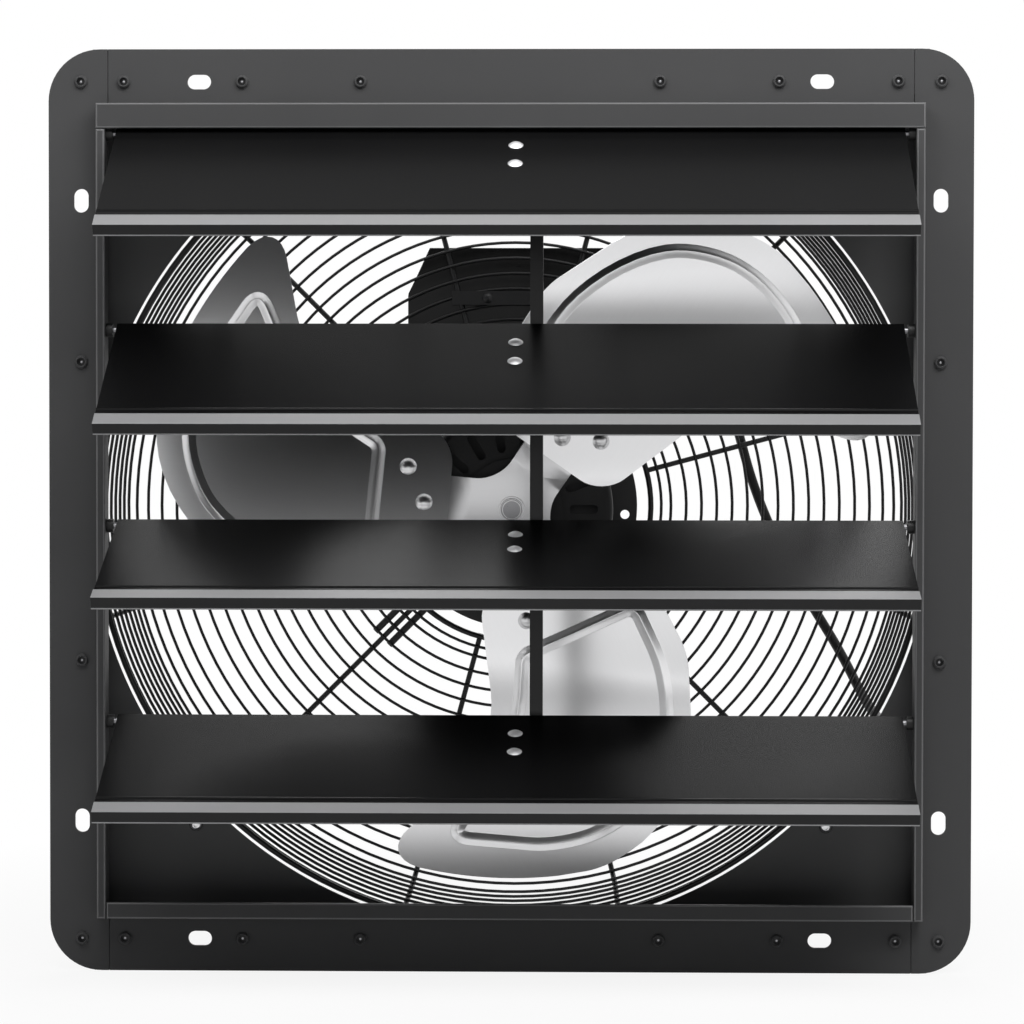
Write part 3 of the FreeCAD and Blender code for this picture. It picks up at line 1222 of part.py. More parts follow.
def coil_path():
    """Half-turn arcs from the back layer to the front one, each climb a pair of quarter turns.

    The last half turn is only a quarter, so that the free end leaves to the left under the coil.
    """
    start = vec(COIL_CENTRE_X + COIL_OUTER_RADIUS, COIL_BACK_Y, COIL_CENTRE_Z)
    lead = vec(0, 0, CORD_DIAMETER)
    edges = [Part.LineSegment(start + lead, start).toShape()]
    place = start
    tangent = vec(0, 0, -1)
    radius = COIL_OUTER_RADIUS
    side = -1
    *whole_steps, last_step = coil_steps()
    for step in whole_steps:
        if step is None:
            end = place + vec(side * 2 * radius, -COIL_LAYER_PITCH, 0)
            quarter = (place + end) * 0.5 + tangent * ((end - place).Length / 2)
            edge, tangent = tangent_arc(place, tangent, quarter)
            edges.append(edge)
            place = quarter
        else:
            end = place + vec(side * (2 * radius + step), 0, 0)
            radius += step
        edge, tangent = tangent_arc(place, tangent, end)
        edges.append(edge)
        place = end
        side = -side
    last_radius = radius + last_step / 2
    last = place + tangent * last_radius + vec(side * last_radius, 0, 0)
    edge, tangent = tangent_arc(place, tangent, last)
    edges.append(edge)
    coil_tail = last + tangent * CORD_DIAMETER
    edges.append(Part.LineSegment(last, coil_tail).toShape())
    return edges, start + lead, coil_tail, tangent


coil_edges, coil_start, coil_end, coil_exit = coil_path()


def pipe(edges, start, direction):
    section = Part.Wire([Part.makeCircle(CORD_RADIUS, start, direction)])
    return Part.Wire(edges).makePipeShell([section], True, False)


def least_self_gap(edges):
    """Least space between parts of the tube that aren't neighbours along it."""
    points = []
    along = 0.0
    for edge in edges:
        count = max(2, int(edge.Length / 2))
        for k in range(count):
            parameter = edge.getParameterByLength(edge.Length * k / count)
            points.append((along + edge.Length * k / count, edge.valueAt(parameter)))
        along += edge.Length
    apart = 3 * CORD_DIAMETER
    gaps = [
        (p - q).Length
        for i, (s, p) in enumerate(points)
        for t, q in points[i + 1:]
        if t - s > apart
    ]
    return min(gaps) - CORD_DIAMETER


# Route of the free stretch, from the gland over the guard's face and shoulder to the coil
CORD_ROUTE = [
    (gland_end_x, GLAND_Y, GLAND_Z),
    (gland_end_x + CORD_STRAIGHT, GLAND_Y, GLAND_Z),
    (150, 197, 96),
    (161, 195, 60),
    (174, 194, 12),
    (194, 194, -34),
    (214, 193, -69),
    (237, 188, -106),
    (252, 165, -138),
    (259, 138, -149),
    (266, 110, -156),
    (273, 87, -167),
    (279, 72, -184),
    (coil_start.x, coil_start.y, coil_start.z + COIL_LEAD),
    (coil_start.x, coil_start.y, coil_start.z),
]


def route_edges(route):
    """Straight runs joined by tangent arcs, each as large as its two runs allow."""
    points = [vec(*place) for place in route]
    edges = []
    place = points[0]
    for before, corner, after in zip(points, points[1:], points[2:]):
        into = (corner - before).normalize()
        out = (after - corner).normalize()
        turn = into.getAngle(out)
        reach = CORD_BEND_SHARE * min((corner - before).Length, (after - corner).Length)
        radius = reach / math.tan(turn / 2)
        print("cord turn", round(math.degrees(turn)), "radius", round(radius))
        arc_start = corner - into * reach
        arc_end = corner + out * reach
        edges.append(Part.LineSegment(place, arc_start).toShape())
        edge, _ = tangent_arc(arc_start, into, arc_end)
        edges.append(edge)
        place = arc_end
    edges.append(Part.LineSegment(place, points[-1]).toShape())
    return edges


cord_edges = route_edges(CORD_ROUTE)
cord_length = sum(edge.Length for edge in cord_edges)
coil_length = sum(edge.Length for edge in coil_edges)
cord = pipe(cord_edges, vec(*CORD_ROUTE[0]), X_AXIS)
coil = pipe(coil_edges, coil_start, Z_AXIS)
section_area = math.pi * CORD_RADIUS**2
print("cord volume ratio", cord.Volume / (section_area * cord_length))
print("coil volume ratio", coil.Volume / (section_area * coil_length))
print("cord length", round(cord_length), "coil length", round(coil_length))
print("coil least self gap", round(least_self_gap(coil_edges), 2))
save("supply_cord", cord)
save("cord_coil", coil)


def cord_tie():
    """Flat band round the strands on the left of the coil."""
    inner = COIL_INNER_RADIUS - COIL_PITCH / 2 - CORD_RADIUS - TIE_CLEARANCE
    outer = COIL_OUTER_RADIUS + CORD_RADIUS + TIE_CLEARANCE
    low = COIL_FRONT_Y - CORD_RADIUS - TIE_CLEARANCE
    high = COIL_BACK_Y + CORD_RADIUS + TIE_CLEARANCE
    z_range = (COIL_CENTRE_Z - TIE_WIDTH / 2, COIL_CENTRE_Z + TIE_WIDTH / 2)
    band = block(
        (COIL_CENTRE_X - inner + TIE_SHEET, COIL_CENTRE_X - outer - TIE_SHEET),
        (low - TIE_SHEET, high + TIE_SHEET),
        z_range,
    )
    return band.cut(block((COIL_CENTRE_X - inner, COIL_CENTRE_X - outer), (low, high), z_range))


save("cord_tie", cord_tie())


def mains_plug():
    """Plain two-pin plug with a round neck, on the coil's free end."""
    neck = Part.makeCylinder(PLUG_NECK_RADIUS, PLUG_NECK_LENGTH, coil_end, coil_exit)
    body = Part.makeBox(PLUG_WIDTH, PLUG_DEPTH, PLUG_LENGTH, vec(-PLUG_WIDTH / 2, -PLUG_DEPTH / 2, 0))
    upright = [edge for edge in body.Edges if edge.tangentAt(edge.FirstParameter).isEqual(Z_AXIS, 0.01)]
    body = body.makeFillet(PLUG_DEPTH / 4, upright)
    pins = [
        Part.makeBox(
            PLUG_PIN_SHEET,
            PLUG_PIN_WIDTH,
            PLUG_PIN_LENGTH,
            vec(s * PLUG_PIN_SPREAD - PLUG_PIN_SHEET / 2, -PLUG_PIN_WIDTH / 2, PLUG_LENGTH),
        )
        for s in (-1, 1)
    ]
    plug = body.fuse(pins)
    plug.Placement = FreeCAD.Placement(
        coil_end + coil_exit * PLUG_NECK_LENGTH, FreeCAD.Rotation(Z_AXIS, coil_exit)
    )
    return neck.fuse(plug).removeSplitter()


save("mains_plug", mains_plug())
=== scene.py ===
# %% [markdown]
# # A shutter exhaust fan
# The real object is a square steel frame that is screwed to a wall. Four louvres hang in its front,
# and a three-bladed fan on a motor stands in a wire guard behind them.
# The measured solids come in as a fixed frame, and this lesson dresses them: it adds the cord,
# the pressed and folded sheets whose edges catch the light, and the finishes.

# %% Load the measured frame
import math

import bmesh
import bpy
from mathutils import Matrix, Vector


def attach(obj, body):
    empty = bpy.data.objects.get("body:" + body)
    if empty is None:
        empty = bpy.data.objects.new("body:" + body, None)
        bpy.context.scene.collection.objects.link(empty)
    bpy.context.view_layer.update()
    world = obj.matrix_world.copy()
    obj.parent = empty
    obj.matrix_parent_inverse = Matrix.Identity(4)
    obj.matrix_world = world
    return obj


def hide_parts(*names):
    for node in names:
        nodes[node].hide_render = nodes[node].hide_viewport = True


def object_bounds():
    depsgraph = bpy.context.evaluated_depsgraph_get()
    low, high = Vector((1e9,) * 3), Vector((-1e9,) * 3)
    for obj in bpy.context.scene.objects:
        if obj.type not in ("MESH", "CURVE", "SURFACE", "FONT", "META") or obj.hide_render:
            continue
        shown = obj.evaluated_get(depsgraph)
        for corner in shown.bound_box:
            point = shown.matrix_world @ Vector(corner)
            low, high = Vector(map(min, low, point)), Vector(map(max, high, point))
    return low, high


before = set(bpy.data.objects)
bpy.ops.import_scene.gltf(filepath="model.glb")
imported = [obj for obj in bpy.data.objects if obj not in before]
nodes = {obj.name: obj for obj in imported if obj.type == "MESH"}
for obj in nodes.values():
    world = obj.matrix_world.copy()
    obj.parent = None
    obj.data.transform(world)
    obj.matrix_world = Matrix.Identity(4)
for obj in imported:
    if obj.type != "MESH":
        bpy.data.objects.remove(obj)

cad_box = [list(corner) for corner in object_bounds()]
scene = bpy.context.scene
MM = 0.001
print("nodes", len(nodes), "box", [[round(x, 3) for x in corner] for corner in cad_box])

# %% [markdown]
# ## The camera
# The photograph was taken from far away with a long lens, a little to the right and a little above
# the middle. A long lens could be guessed by eye, but the eight wall slots lie in one plane, so their
# places in the picture fix the distance, the angles and the lens, and those numbers stand here.

# %% Camera at the photograph's place
CAMERA_PLACE = Vector((52.2, -2394.2, 61.3)) * MM
CAMERA_TARGET = Vector((1.55, -3.0, -0.03)) * MM
CAMERA_ROLL = math.radians(0.07)
FOCAL_PIXELS = 3540.25
PICTURE_PIXELS = 1024

lens = bpy.data.cameras.new("photo_lens")
lens.sensor_width = 36
lens.lens = lens.sensor_width * FOCAL_PIXELS / PICTURE_PIXELS
lens.clip_start = 0.05
lens.clip_end = 60
camera = bpy.data.objects.new("photo_camera", lens)
scene.collection.objects.link(camera)
look = (CAMERA_TARGET - CAMERA_PLACE).to_track_quat("-Z", "Y")
camera.location = CAMERA_PLACE
camera.rotation_euler = (look.to_matrix() @ Matrix.Rotation(CAMERA_ROLL, 3, "Z")).to_euler()
scene.camera = camera
print("lens", round(lens.lens, 1), "mm")

# %% [markdown]
# ## The mains cord
# A round rubber lead leaves the junction box, crosses the back of the guard and is wound into a tied
# coil in the lower corner. It could be a swept mesh, but a curve with a round bevel keeps one smooth
# centre line that can be measured. The spline has order 3, so it passes near its points in soft bends.
# The coil is more points of the same spline: they go round by a loop, in and out by layers.

# %% Route of the cord and the turns of its coil
CORD_DIAMETER = 7 * MM
COIL_CENTRE = Vector((243, 0, -234)) * MM
COIL_OUTER = 40.2
COIL_STEP = 4.6
COIL_LAYER = 8.8
COIL_LAYERS = 4
COIL_BACK = 64.9
POINTS_PER_HALF_TURN = 12
GLAND_END = (102.43, 202.4, 118)
free_run = [
    GLAND_END,
    (128.43, 202.4, 118),
    (150, 197, 96),
    (161, 195, 60),
    (174, 194, 12),
    (194, 194, -34),
    (214, 193, -69),
    (237, 188, -106),
    (252, 165, -138),
    (259, 138, -149),
    (266, 110, -156),
    (273, 87, -167),
    (279, 72, -184),
    (283.2, COIL_BACK, -205),
]
# Each half turn: how much the radius grows, and how much the depth does
half_turns = []
for layer in range(COIL_LAYERS):
    change = -COIL_STEP if layer % 2 == 0 else COIL_STEP
    half_turns += [(change, 0), (change, 0), (0, -COIL_LAYER)]
half_turns = half_turns[:-2]
# A quadratic spline runs inside its points by this share of the radius.
widen = 1 / math.cos(math.pi / POINTS_PER_HALF_TURN / 2)
coil_run = []
radius = COIL_OUTER
depth = COIL_BACK
angle = 0.0
for change, climb in half_turns:
    for k in range(POINTS_PER_HALF_TURN):
        share = k / POINTS_PER_HALF_TURN
        r = (radius + change * share) * widen * MM
        y = (depth + climb * share) * MM
        turn = angle - math.pi * share
        coil_run.append(COIL_CENTRE + Vector((r * math.cos(turn), y, r * math.sin(turn))))
    radius += change
    depth += climb
    angle -= math.pi
last_radius = (radius + COIL_STEP / 2) * MM
last_centre = COIL_CENTRE + Vector((radius * MM - last_radius, depth * MM, 0))
for k in range(POINTS_PER_HALF_TURN // 2):
    turn = angle - math.pi * k / POINTS_PER_HALF_TURN
    coil_run.append(last_centre + Vector((math.cos(turn), 0, math.sin(turn))) * last_radius * widen)
last = last_centre + Vector((0, 0, -last_radius))
coil_run += [last, last + Vector((-CORD_DIAMETER, 0, 0))]
print("coil points", len(coil_run), "ends at", [round(x, 4) for x in coil_run[-1]])

# %% The cord as one smooth curve
cord_curve = bpy.data.curves.new("supply_lead", "CURVE")
cord_curve.dimensions = "3D"
cord_curve.bevel_depth = 1.0
cord_curve.bevel_resolution = 4
cord_curve.resolution_u = 6
cord_curve.use_fill_caps = True
spline = cord_curve.splines.new("NURBS")
cord_points = [Vector(place) * MM for place in free_run] + coil_run
spline.points.add(len(cord_points) - 1)
for point, place in zip(spline.points, cord_points):
    point.co = (*place, 1)
    point.radius = CORD_DIAMETER / 2
spline.order_u = 3
spline.use_endpoint_u = True
supply_lead = bpy.data.objects.new("supply_lead", cord_curve)
scene.collection.objects.link(supply_lead)
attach(supply_lead, "frame")
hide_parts("supply_cord", "cord_coil")
print("cord points", len(spline.points))

# %% [markdown]
# ## A small language for finishes
# A finish is a tree of nodes. Linking them one by one hides the idea behind the wiring, so a socket is
# wrapped in a class that takes part in Python sums: every sum adds its own node. One method adds any
# other node from its type, its settings and what goes into its sockets.

# %% Sockets that can be added and multiplied
class Signal:
    """A value on the surface, taken from one socket."""

    def __init__(self, tree, socket):
        self.tree = tree
        self.socket = socket

    def sum(self, operation, first, second):
        node = self.tree.nodes.new("ShaderNodeMath")
        node.operation = operation
        for socket, value in zip(node.inputs, (first, second)):
            if isinstance(value, Signal):
                self.tree.links.new(value.socket, socket)
            else:
                socket.default_value = value
        return Signal(self.tree, node.outputs[0])

    def __add__(self, other):
        return self.sum("ADD", self, other)

    def __radd__(self, other):
        return self.sum("ADD", other, self)

    def __sub__(self, other):
        return self.sum("SUBTRACT", self, other)

    def __rsub__(self, other):
        return self.sum("SUBTRACT", other, self)

    def __mul__(self, other):
        return self.sum("MULTIPLY", self, other)

    def __rmul__(self, other):
        return self.sum("MULTIPLY", other, self)


# A mix node has sockets for numbers, vectors and colours, and these are the ones for colours.
MIX_COLOURS = 6, 7
MIX_RESULT = 2


class Finish:
    """A material that is put together from nodes."""

    def __init__(self, name):
        self.material = bpy.data.materials.new(name)
        self.material.use_nodes = True
        self.tree = self.material.node_tree
        self.tree.nodes.clear()

    def add(self, kind, settings=None, sockets=None, output=0):
        node = self.tree.nodes.new("ShaderNode" + kind)
        for key, value in (settings or {}).items():
            setattr(node, key, value)
        for key, value in (sockets or {}).items():
            if isinstance(value, Signal):
                self.tree.links.new(value.socket, node.inputs[key])
            else:
                node.inputs[key].default_value = value
        return Signal(self.tree, node.outputs[output])

    def place(self, scale=(1, 1, 1), turn=(0, 0, 0)):
        """Object coordinates, turned and then stretched."""
        here = self.add("TexCoord", output="Object")
        turned = self.add("Mapping", None, {"Vector": here, "Rotation": turn})
        return self.add("Mapping", None, {"Vector": turned, "Scale": scale})

    def spread(self, value, low, high, first, last):
        """A value between first and last, where the input goes from low to high, and no further."""
        ends = {"From Min": low, "From Max": high, "To Min": first, "To Max": last}
        return self.add("MapRange", {"clamp": True}, {"Value": value, **ends})

    def noise(self, where, scale, detail=2.0, roughness=0.5):
        sockets = {"Vector": where, "Scale": scale, "Detail": detail, "Roughness": roughness}
        return self.add("TexNoise", None, sockets)

    def blend(self, factor, first, second):
        """A colour between two colours."""
        node = self.tree.nodes.new("ShaderNodeMix")
        node.data_type = "RGBA"
        self.tree.links.new(factor.socket, node.inputs["Factor"])
        for number, colour in zip(MIX_COLOURS, (first, second)):
            node.inputs[number].default_value = (*colour, 1)
        return Signal(self.tree, node.outputs[MIX_RESULT])

    def close(self, **sockets):
        """The surface shader and the output."""
        named = {key.replace("_", " "): value for key, value in sockets.items()}
        surface = self.add("BsdfPrincipled", None, named)
        self.add_output(surface)
        return self.material

    def add_output(self, surface):
        node = self.tree.nodes.new("ShaderNodeOutputMaterial")
        self.tree.links.new(surface.socket, node.inputs["Surface"])


print("finish language ready")

# %% [markdown]
# ## Background, floor and lamps
# The photograph has a pure white ground. More light would wash the black coat out, so the white is
# given only to rays that look straight at the ground, or see it in a mirror or through glass.
# Everything else is lit by a quiet grey sky and a few large soft lamps. Two of them hang close above
# the front, the right one a little stronger, so the frame pales towards its top as in the picture.

# %% White ground for the eye, grey sky for the light
SKY_TONE = (0.62, 0.63, 0.65, 1)
SKY_STRENGTH = 0.22


def seen_directly(tree):
    """One where a ray comes from the eye, a mirror or glass."""
    path = tree.nodes.new("ShaderNodeLightPath")
    seen = path.outputs["Is Camera Ray"]
    for name in ("Is Glossy Ray", "Is Transmission Ray"):
        both = tree.nodes.new("ShaderNodeMath")
        both.operation = "MAXIMUM"
        tree.links.new(seen, both.inputs[0])
        tree.links.new(path.outputs[name], both.inputs[1])
        seen = both.outputs[0]
    return seen


world = bpy.data.worlds.new("studio")
scene.world = world
world.use_nodes = True
sky = world.node_tree
sky.nodes.clear()
grey = sky.nodes.new("ShaderNodeBackground")
grey.inputs["Color"].default_value = SKY_TONE
grey.inputs["Strength"].default_value = SKY_STRENGTH
white = sky.nodes.new("ShaderNodeBackground")
white.inputs["Color"].default_value = (1, 1, 1, 1)
white.inputs["Strength"].default_value = 1
choice = sky.nodes.new("ShaderNodeMixShader")
sky.links.new(seen_directly(sky), choice.inputs[0])
sky.links.new(grey.outputs[0], choice.inputs[1])
sky.links.new(white.outputs[0], choice.inputs[2])
sky_out = sky.nodes.new("ShaderNodeOutputWorld")
sky.links.new(choice.outputs[0], sky_out.inputs["Surface"])
scene.view_settings.view_transform = "Standard"
print("sky", SKY_STRENGTH)

# %% A pale floor that keeps a faint shadow and fades into the white
FLOOR_HALF = 8.0
FLOOR_TONE = (0.86, 0.86, 0.86, 1)
FLOOR_SHADOW = 0.12
SHADOW_WHOLE = 0.35
SHADOW_GONE = 0.9
floor_mesh = bpy.data.meshes.new("floor")
slab = bmesh.new()
bmesh.ops.create_grid(slab, x_segments=4, y_segments=4, size=FLOOR_HALF)
bmesh.ops.translate(slab, verts=slab.verts, vec=(0, 0, cad_box[0][2]))
slab.to_mesh(floor_mesh)
slab.free()
floor = bpy.data.objects.new("floor", floor_mesh)
scene.collection.objects.link(floor)
floor_paint = Finish("floor_paint")
from_middle = {0: floor_paint.place()}
away = floor_paint.add("VectorMath", {"operation": "LENGTH"}, from_middle, output="Value")
matt_share = floor_paint.spread(away, SHADOW_WHOLE, SHADOW_GONE, FLOOR_SHADOW, 0.0)
matt = floor_paint.add("BsdfDiffuse", None, {"Color": FLOOR_TONE})
glow = floor_paint.add("Emission", None, {"Strength": 1.0})
seen = Signal(floor_paint.tree, seen_directly(floor_paint.tree))
floor_mix = floor_paint.add("MixShader", None, {0: seen * (1 - matt_share), 1: matt, 2: glow})
floor_paint.add_output(floor_mix)
floor_mesh.materials.append(floor_paint.material)
print("floor at", round(cad_box[0][2], 3))

# %% Soft lamps above, in front and behind
# Each lamp: name, place, what it looks at, side in metres, power in watts
LAMPS = [
    ("top_left", (-0.40, -0.60, 0.85), (-0.1, 0, 0.25), 0.7, 4.2),
    ("top_right", (0.46, -0.60, 0.85), (0.1, 0, 0.25), 0.7, 5.6),
    ("front_far", (0.5, -2.0, 2.0), (0, 0, 0), 1.4, 24),
    ("back_top", (0.3, 2.4, 1.6), (0, 0.1, 0), 1.8, 30),
]
for name, place, target, size, power in LAMPS:
    lamp = bpy.data.lights.new(name, "AREA")
    lamp.shape = "SQUARE"
    lamp.size = size
    lamp.energy = power
    holder = bpy.data.objects.new(name, lamp)
    holder.location = place
    holder.rotation_euler = (Vector(target) - Vector(place)).to_track_quat("-Z", "Y").to_euler()
    scene.collection.objects.link(holder)
print("lamps", len(LAMPS))

# %% [markdown]
# ## Finishes
# The frame has a satin powder coat, which is baked from grains and so is never quite smooth.
# The louvres have a smoother and blacker coat. Along the lip a pale strip is a painted highlight, and the
# grey flange under it is painted light, on what is one black sheet; the paler folds of the rails' lips are
# a painted highlight too. The guard has a dipped coat. The fan is bare rolled sheet. Each finish has two
# scales: a broad one that changes tone and gloss a little over the piece, and a fine one that makes
# the surface itself.

# %% Coats and plastics: tone, gloss and grain
COAT_PATCHES = 9.0
COAT_BUMP = 0.35


def grey(tone, blue):
    """A grey whose blue is its own, so that it can be a little cool."""
    return tone, tone, blue


def coat(name, dark, light, gloss, spread, grain, depth, specular):
    """A painted or moulded surface: two close tones, a gloss that wanders, and a fine grain."""
    finish = Finish(name)
    here = finish.place()
    broad = finish.noise(here, COAT_PATCHES, 3.0)
    fine = finish.noise(here, grain, 2.0)
    bump = finish.add("Bump", None, {"Strength": COAT_BUMP, "Distance": depth, "Height": fine})
    return finish.close(
        Base_Color=finish.blend(broad, dark, light),
        Roughness=gloss + spread * (broad - 0.5) + spread * 0.5 * (fine - 0.5),
        Specular_IOR_Level=specular,
        Normal=bump,
    )


# Each coat: two tones, roughness and its spread, scale and depth of the grain, specular level
frame_coat = coat("frame_coat", grey(0.062, 0.063), grey(0.076, 0.077), 0.44, 0.10, 1400, 0.00010, 0.08)
wall_coat = coat("wall_coat", grey(0.105, 0.106), grey(0.125, 0.126), 0.50, 0.10, 1400, 0.00012, 0.04)
louvre_coat = coat("louvre_coat", grey(0.004, 0.0042), grey(0.007, 0.0072), 0.26, 0.06, 1800, 0.00003, 0.04)
# A lighter copy of the louvre coat for the flange of the same black sheet: painted light.
flange_painted_light = coat("flange_painted_light", grey(0.022, 0.0225), grey(0.028, 0.0285), 0.40, 0.08, 1600, 0.00005, 0.1)
# A paler copy of the frame coat for the rounded lip folds: a painted highlight.
fold_painted_highlight = coat("fold_painted_highlight", grey(0.13, 0.132), grey(0.17, 0.172), 0.36, 0.08, 1400, 0.00006, 0.25)
# A pale copy of the louvre coat for the strip and the flange's back edge: a painted highlight.
strip_painted_highlight = coat("strip_painted_highlight", grey(0.26, 0.265), grey(0.31, 0.315), 0.40, 0.08, 1600, 0.00005, 0.3)
guard_coat = coat("guard_coat", grey(0.008, 0.0085), grey(0.012, 0.0125), 0.34, 0.10, 900, 0.00008, 0.3)
motor_coat = coat("motor_coat", grey(0.008, 0.0085), grey(0.014, 0.0145), 0.42, 0.14, 700, 0.00025, 0.20)
box_plastic = coat("box_plastic", grey(0.006, 0.006), grey(0.010, 0.010), 0.20, 0.10, 1100, 0.00004, 0.22)
bush_plastic = coat("bush_plastic", grey(0.010, 0.010), grey(0.016, 0.016), 0.45, 0.10, 1200, 0.00006, 0.3)
screw_oxide = coat("screw_oxide", grey(0.008, 0.009), grey(0.014, 0.015), 0.34, 0.16, 1500, 0.00005, 0.3)
cord_rubber = coat("cord_rubber", grey(0.010, 0.010), grey(0.015, 0.015), 0.52, 0.10, 1600, 0.00010, 0.3)
print("coats ready")


# %% Bare metals: rolled sheet, plated steel and stacked iron
METAL_PATCHES = 7.0
METAL_BUMP = 0.15
ROLLED_DEPTH = 0.000002


def metal(name, dark, light, gloss, spread, stretch, turn=(0, 0, 0), grain=60.0, depth=0.00001):
    """Metal whose fine lines run one way: noise that is drawn out along the rolling direction."""
    finish = Finish(name)
    lines = finish.noise(finish.place(stretch, turn), grain, 4.0, 0.6)
    broad = finish.noise(finish.place(), METAL_PATCHES, 3.0)
    bump = finish.add("Bump", None, {"Strength": METAL_BUMP, "Distance": depth, "Height": lines})
    return finish.close(
        Base_Color=finish.blend(0.5 * lines + 0.5 * broad, dark, light),
        Roughness=gloss + spread * (lines - 0.5) + spread * 0.6 * (broad - 0.5),
        Metallic=1.0,
        Normal=bump,
    )


BLADE_ANGLES = [55, 175, 295]
# Each metal: two tones, roughness and its spread, how the noise is drawn out, and how it is turned
blade_sheets = [
    metal(
        "blade_sheet_" + str(number),
        grey(0.84, 0.85),
        grey(0.94, 0.95),
        0.31,
        0.03,
        (1, 24, 24),
        (0, math.radians(angle), 0),
        depth=ROLLED_DEPTH,
    )
    for number, angle in enumerate(BLADE_ANGLES, 1)
]
spider_tones = grey(0.66, 0.67), grey(0.72, 0.73)
spider_sheet = metal("spider_sheet", *spider_tones, 0.34, 0.04, (1, 1, 12), depth=ROLLED_DEPTH)
rivet_satin = metal("rivet_satin", grey(0.70, 0.71), grey(0.80, 0.81), 0.55, 0.08, (1, 1, 1), grain=300.0)
rivet_steel = metal("rivet_steel", grey(0.66, 0.67), grey(0.78, 0.79), 0.30, 0.10, (1, 1, 1), grain=300.0)
shaft_steel = metal("shaft_steel", grey(0.24, 0.25), grey(0.32, 0.33), 0.30, 0.10, (12, 1, 12))
pin_steel = metal("pin_steel", grey(0.20, 0.21), grey(0.30, 0.31), 0.34, 0.12, (1, 1, 1), grain=200.0)
bracket_zinc = metal("bracket_zinc", grey(0.24, 0.25), grey(0.36, 0.37), 0.38, 0.14, (1, 1, 1), grain=120.0)
core_iron = metal("core_iron", grey(0.03, 0.031), grey(0.05, 0.051), 0.45, 0.10, (0.5, 40, 0.5))
print("metals ready")

# %% [markdown]
# ## The frame's folded edges
# The rails are folded from sheet, and a fold or a sheared edge is never knife sharp: under the coat it
# is a small round that catches a line of light. The measured rails have sharp edges. They could be
# drawn again, but it is surer to copy them, merge their loose triangles and let a bevel turn every
# real edge into a small round. Curved runs have only small angles, so the bevel leaves them alone.
# The lip folds also get a paler finish: a painted highlight on top of the line that the round catches.

# %% Put a shaped mesh into the scene
def verts_of(geometry):
    """The vertices among the parts that an operator gives back."""
    return [part for part in geometry if isinstance(part, bmesh.types.BMVert)]


def place_piece(shape, name, body, stands_for, *finishes):
    """A bmesh in metres becomes an object that rides on a body and stands for measured nodes."""
    mesh = bpy.data.meshes.new(name)
    shape.to_mesh(mesh)
    shape.free()
    mesh.shade_smooth()
    piece = bpy.data.objects.new(name, mesh)
    scene.collection.objects.link(piece)
    for finish in finishes:
        mesh.materials.append(finish)
    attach(piece, body)
    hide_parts(*stands_for)
    return piece


def round_edges(piece, width, angle=35):
    """A live bevel on every edge that is sharper than the angle."""
    bevel = piece.modifiers.new("edges", "BEVEL")
    bevel.width = width * MM
    bevel.segments = 2
    bevel.profile = 0.5
    bevel.limit_method = "ANGLE"
    bevel.angle_limit = math.radians(angle)
    level = piece.modifiers.new("flat faces", "WEIGHTED_NORMAL")
    level.weight = 100
    level.keep_sharp = False


LIP_FRONT = -20.0
LIP_TOLERANCE = 0.00001
FOLD_RADIUS = 1.2
FOLD_NUMBER = 1
SHARP_FOLD = 1
LOOSE_GAP = 0.000002


def on_lip(edge):
    """A sharp edge that lies in the front of a rail's lip."""
    level = all(abs(vert.co.y - LIP_FRONT * MM) < LIP_TOLERANCE for vert in edge.verts)
    return level and edge.is_manifold and edge.calc_face_angle() > SHARP_FOLD


def softened(node, body, width, *finishes):
    """A merged copy of a measured node with rounded edges; the folds of a lip are wider, with a paler
    finish that is a painted highlight.
    """
    shape = bmesh.new()
    shape.from_mesh(nodes[node].data)
    bmesh.ops.remove_doubles(shape, verts=shape.verts, dist=LOOSE_GAP)
    flat = math.radians(0.5)
    bmesh.ops.dissolve_limit(shape, angle_limit=flat, verts=shape.verts, edges=shape.edges)
    if len(finishes) > FOLD_NUMBER:
        bmesh.ops.bevel(
            shape,
            geom=[edge for edge in shape.edges if on_lip(edge)],
            offset=FOLD_RADIUS * MM,
            affect="EDGES",
            segments=4,
            profile=0.5,
            material=FOLD_NUMBER,
        )
    piece = place_piece(shape, node + "_soft", body, [node], *finishes)
    round_edges(piece, width)
    return piece


# %% Rails, junction box and tie rod with rounded edges
# Each node: its body, the radius of its edges in millimetres, and its finishes
SOFT_EDGES = [
    ("left_frame_rail", "frame", 0.6, [frame_coat, fold_painted_highlight]),
    ("right_frame_rail", "frame", 0.6, [frame_coat, fold_painted_highlight]),
    ("top_frame_rail", "frame", 0.6, [frame_coat, fold_painted_highlight]),
    ("bottom_frame_rail", "frame", 0.6, [frame_coat, fold_painted_highlight]),
    ("junction_box", "frame", 1.0, [box_plastic]),
    ("junction_box_cover", "frame", 1.5, [box_plastic]),
    ("tie_rod", "tie_rod", 0.4, [guard_coat]),
]
for node, body, width, finishes in SOFT_EDGES:
    soft = softened(node, body, width, *finishes)
    print(soft.name, "faces", len(soft.data.polygons))

# %% [markdown]
# ## The corner gussets
# Four flat gussets close the corners of the housing, and their arcs make the round opening of the fan.
# A square sheet with a round hole would do for the eye, but the real sheets are four, and they end where
# the arc meets the wall. One point is turned about the fan axis to draw the arc, and the corner of the
# housing closes it to a face.

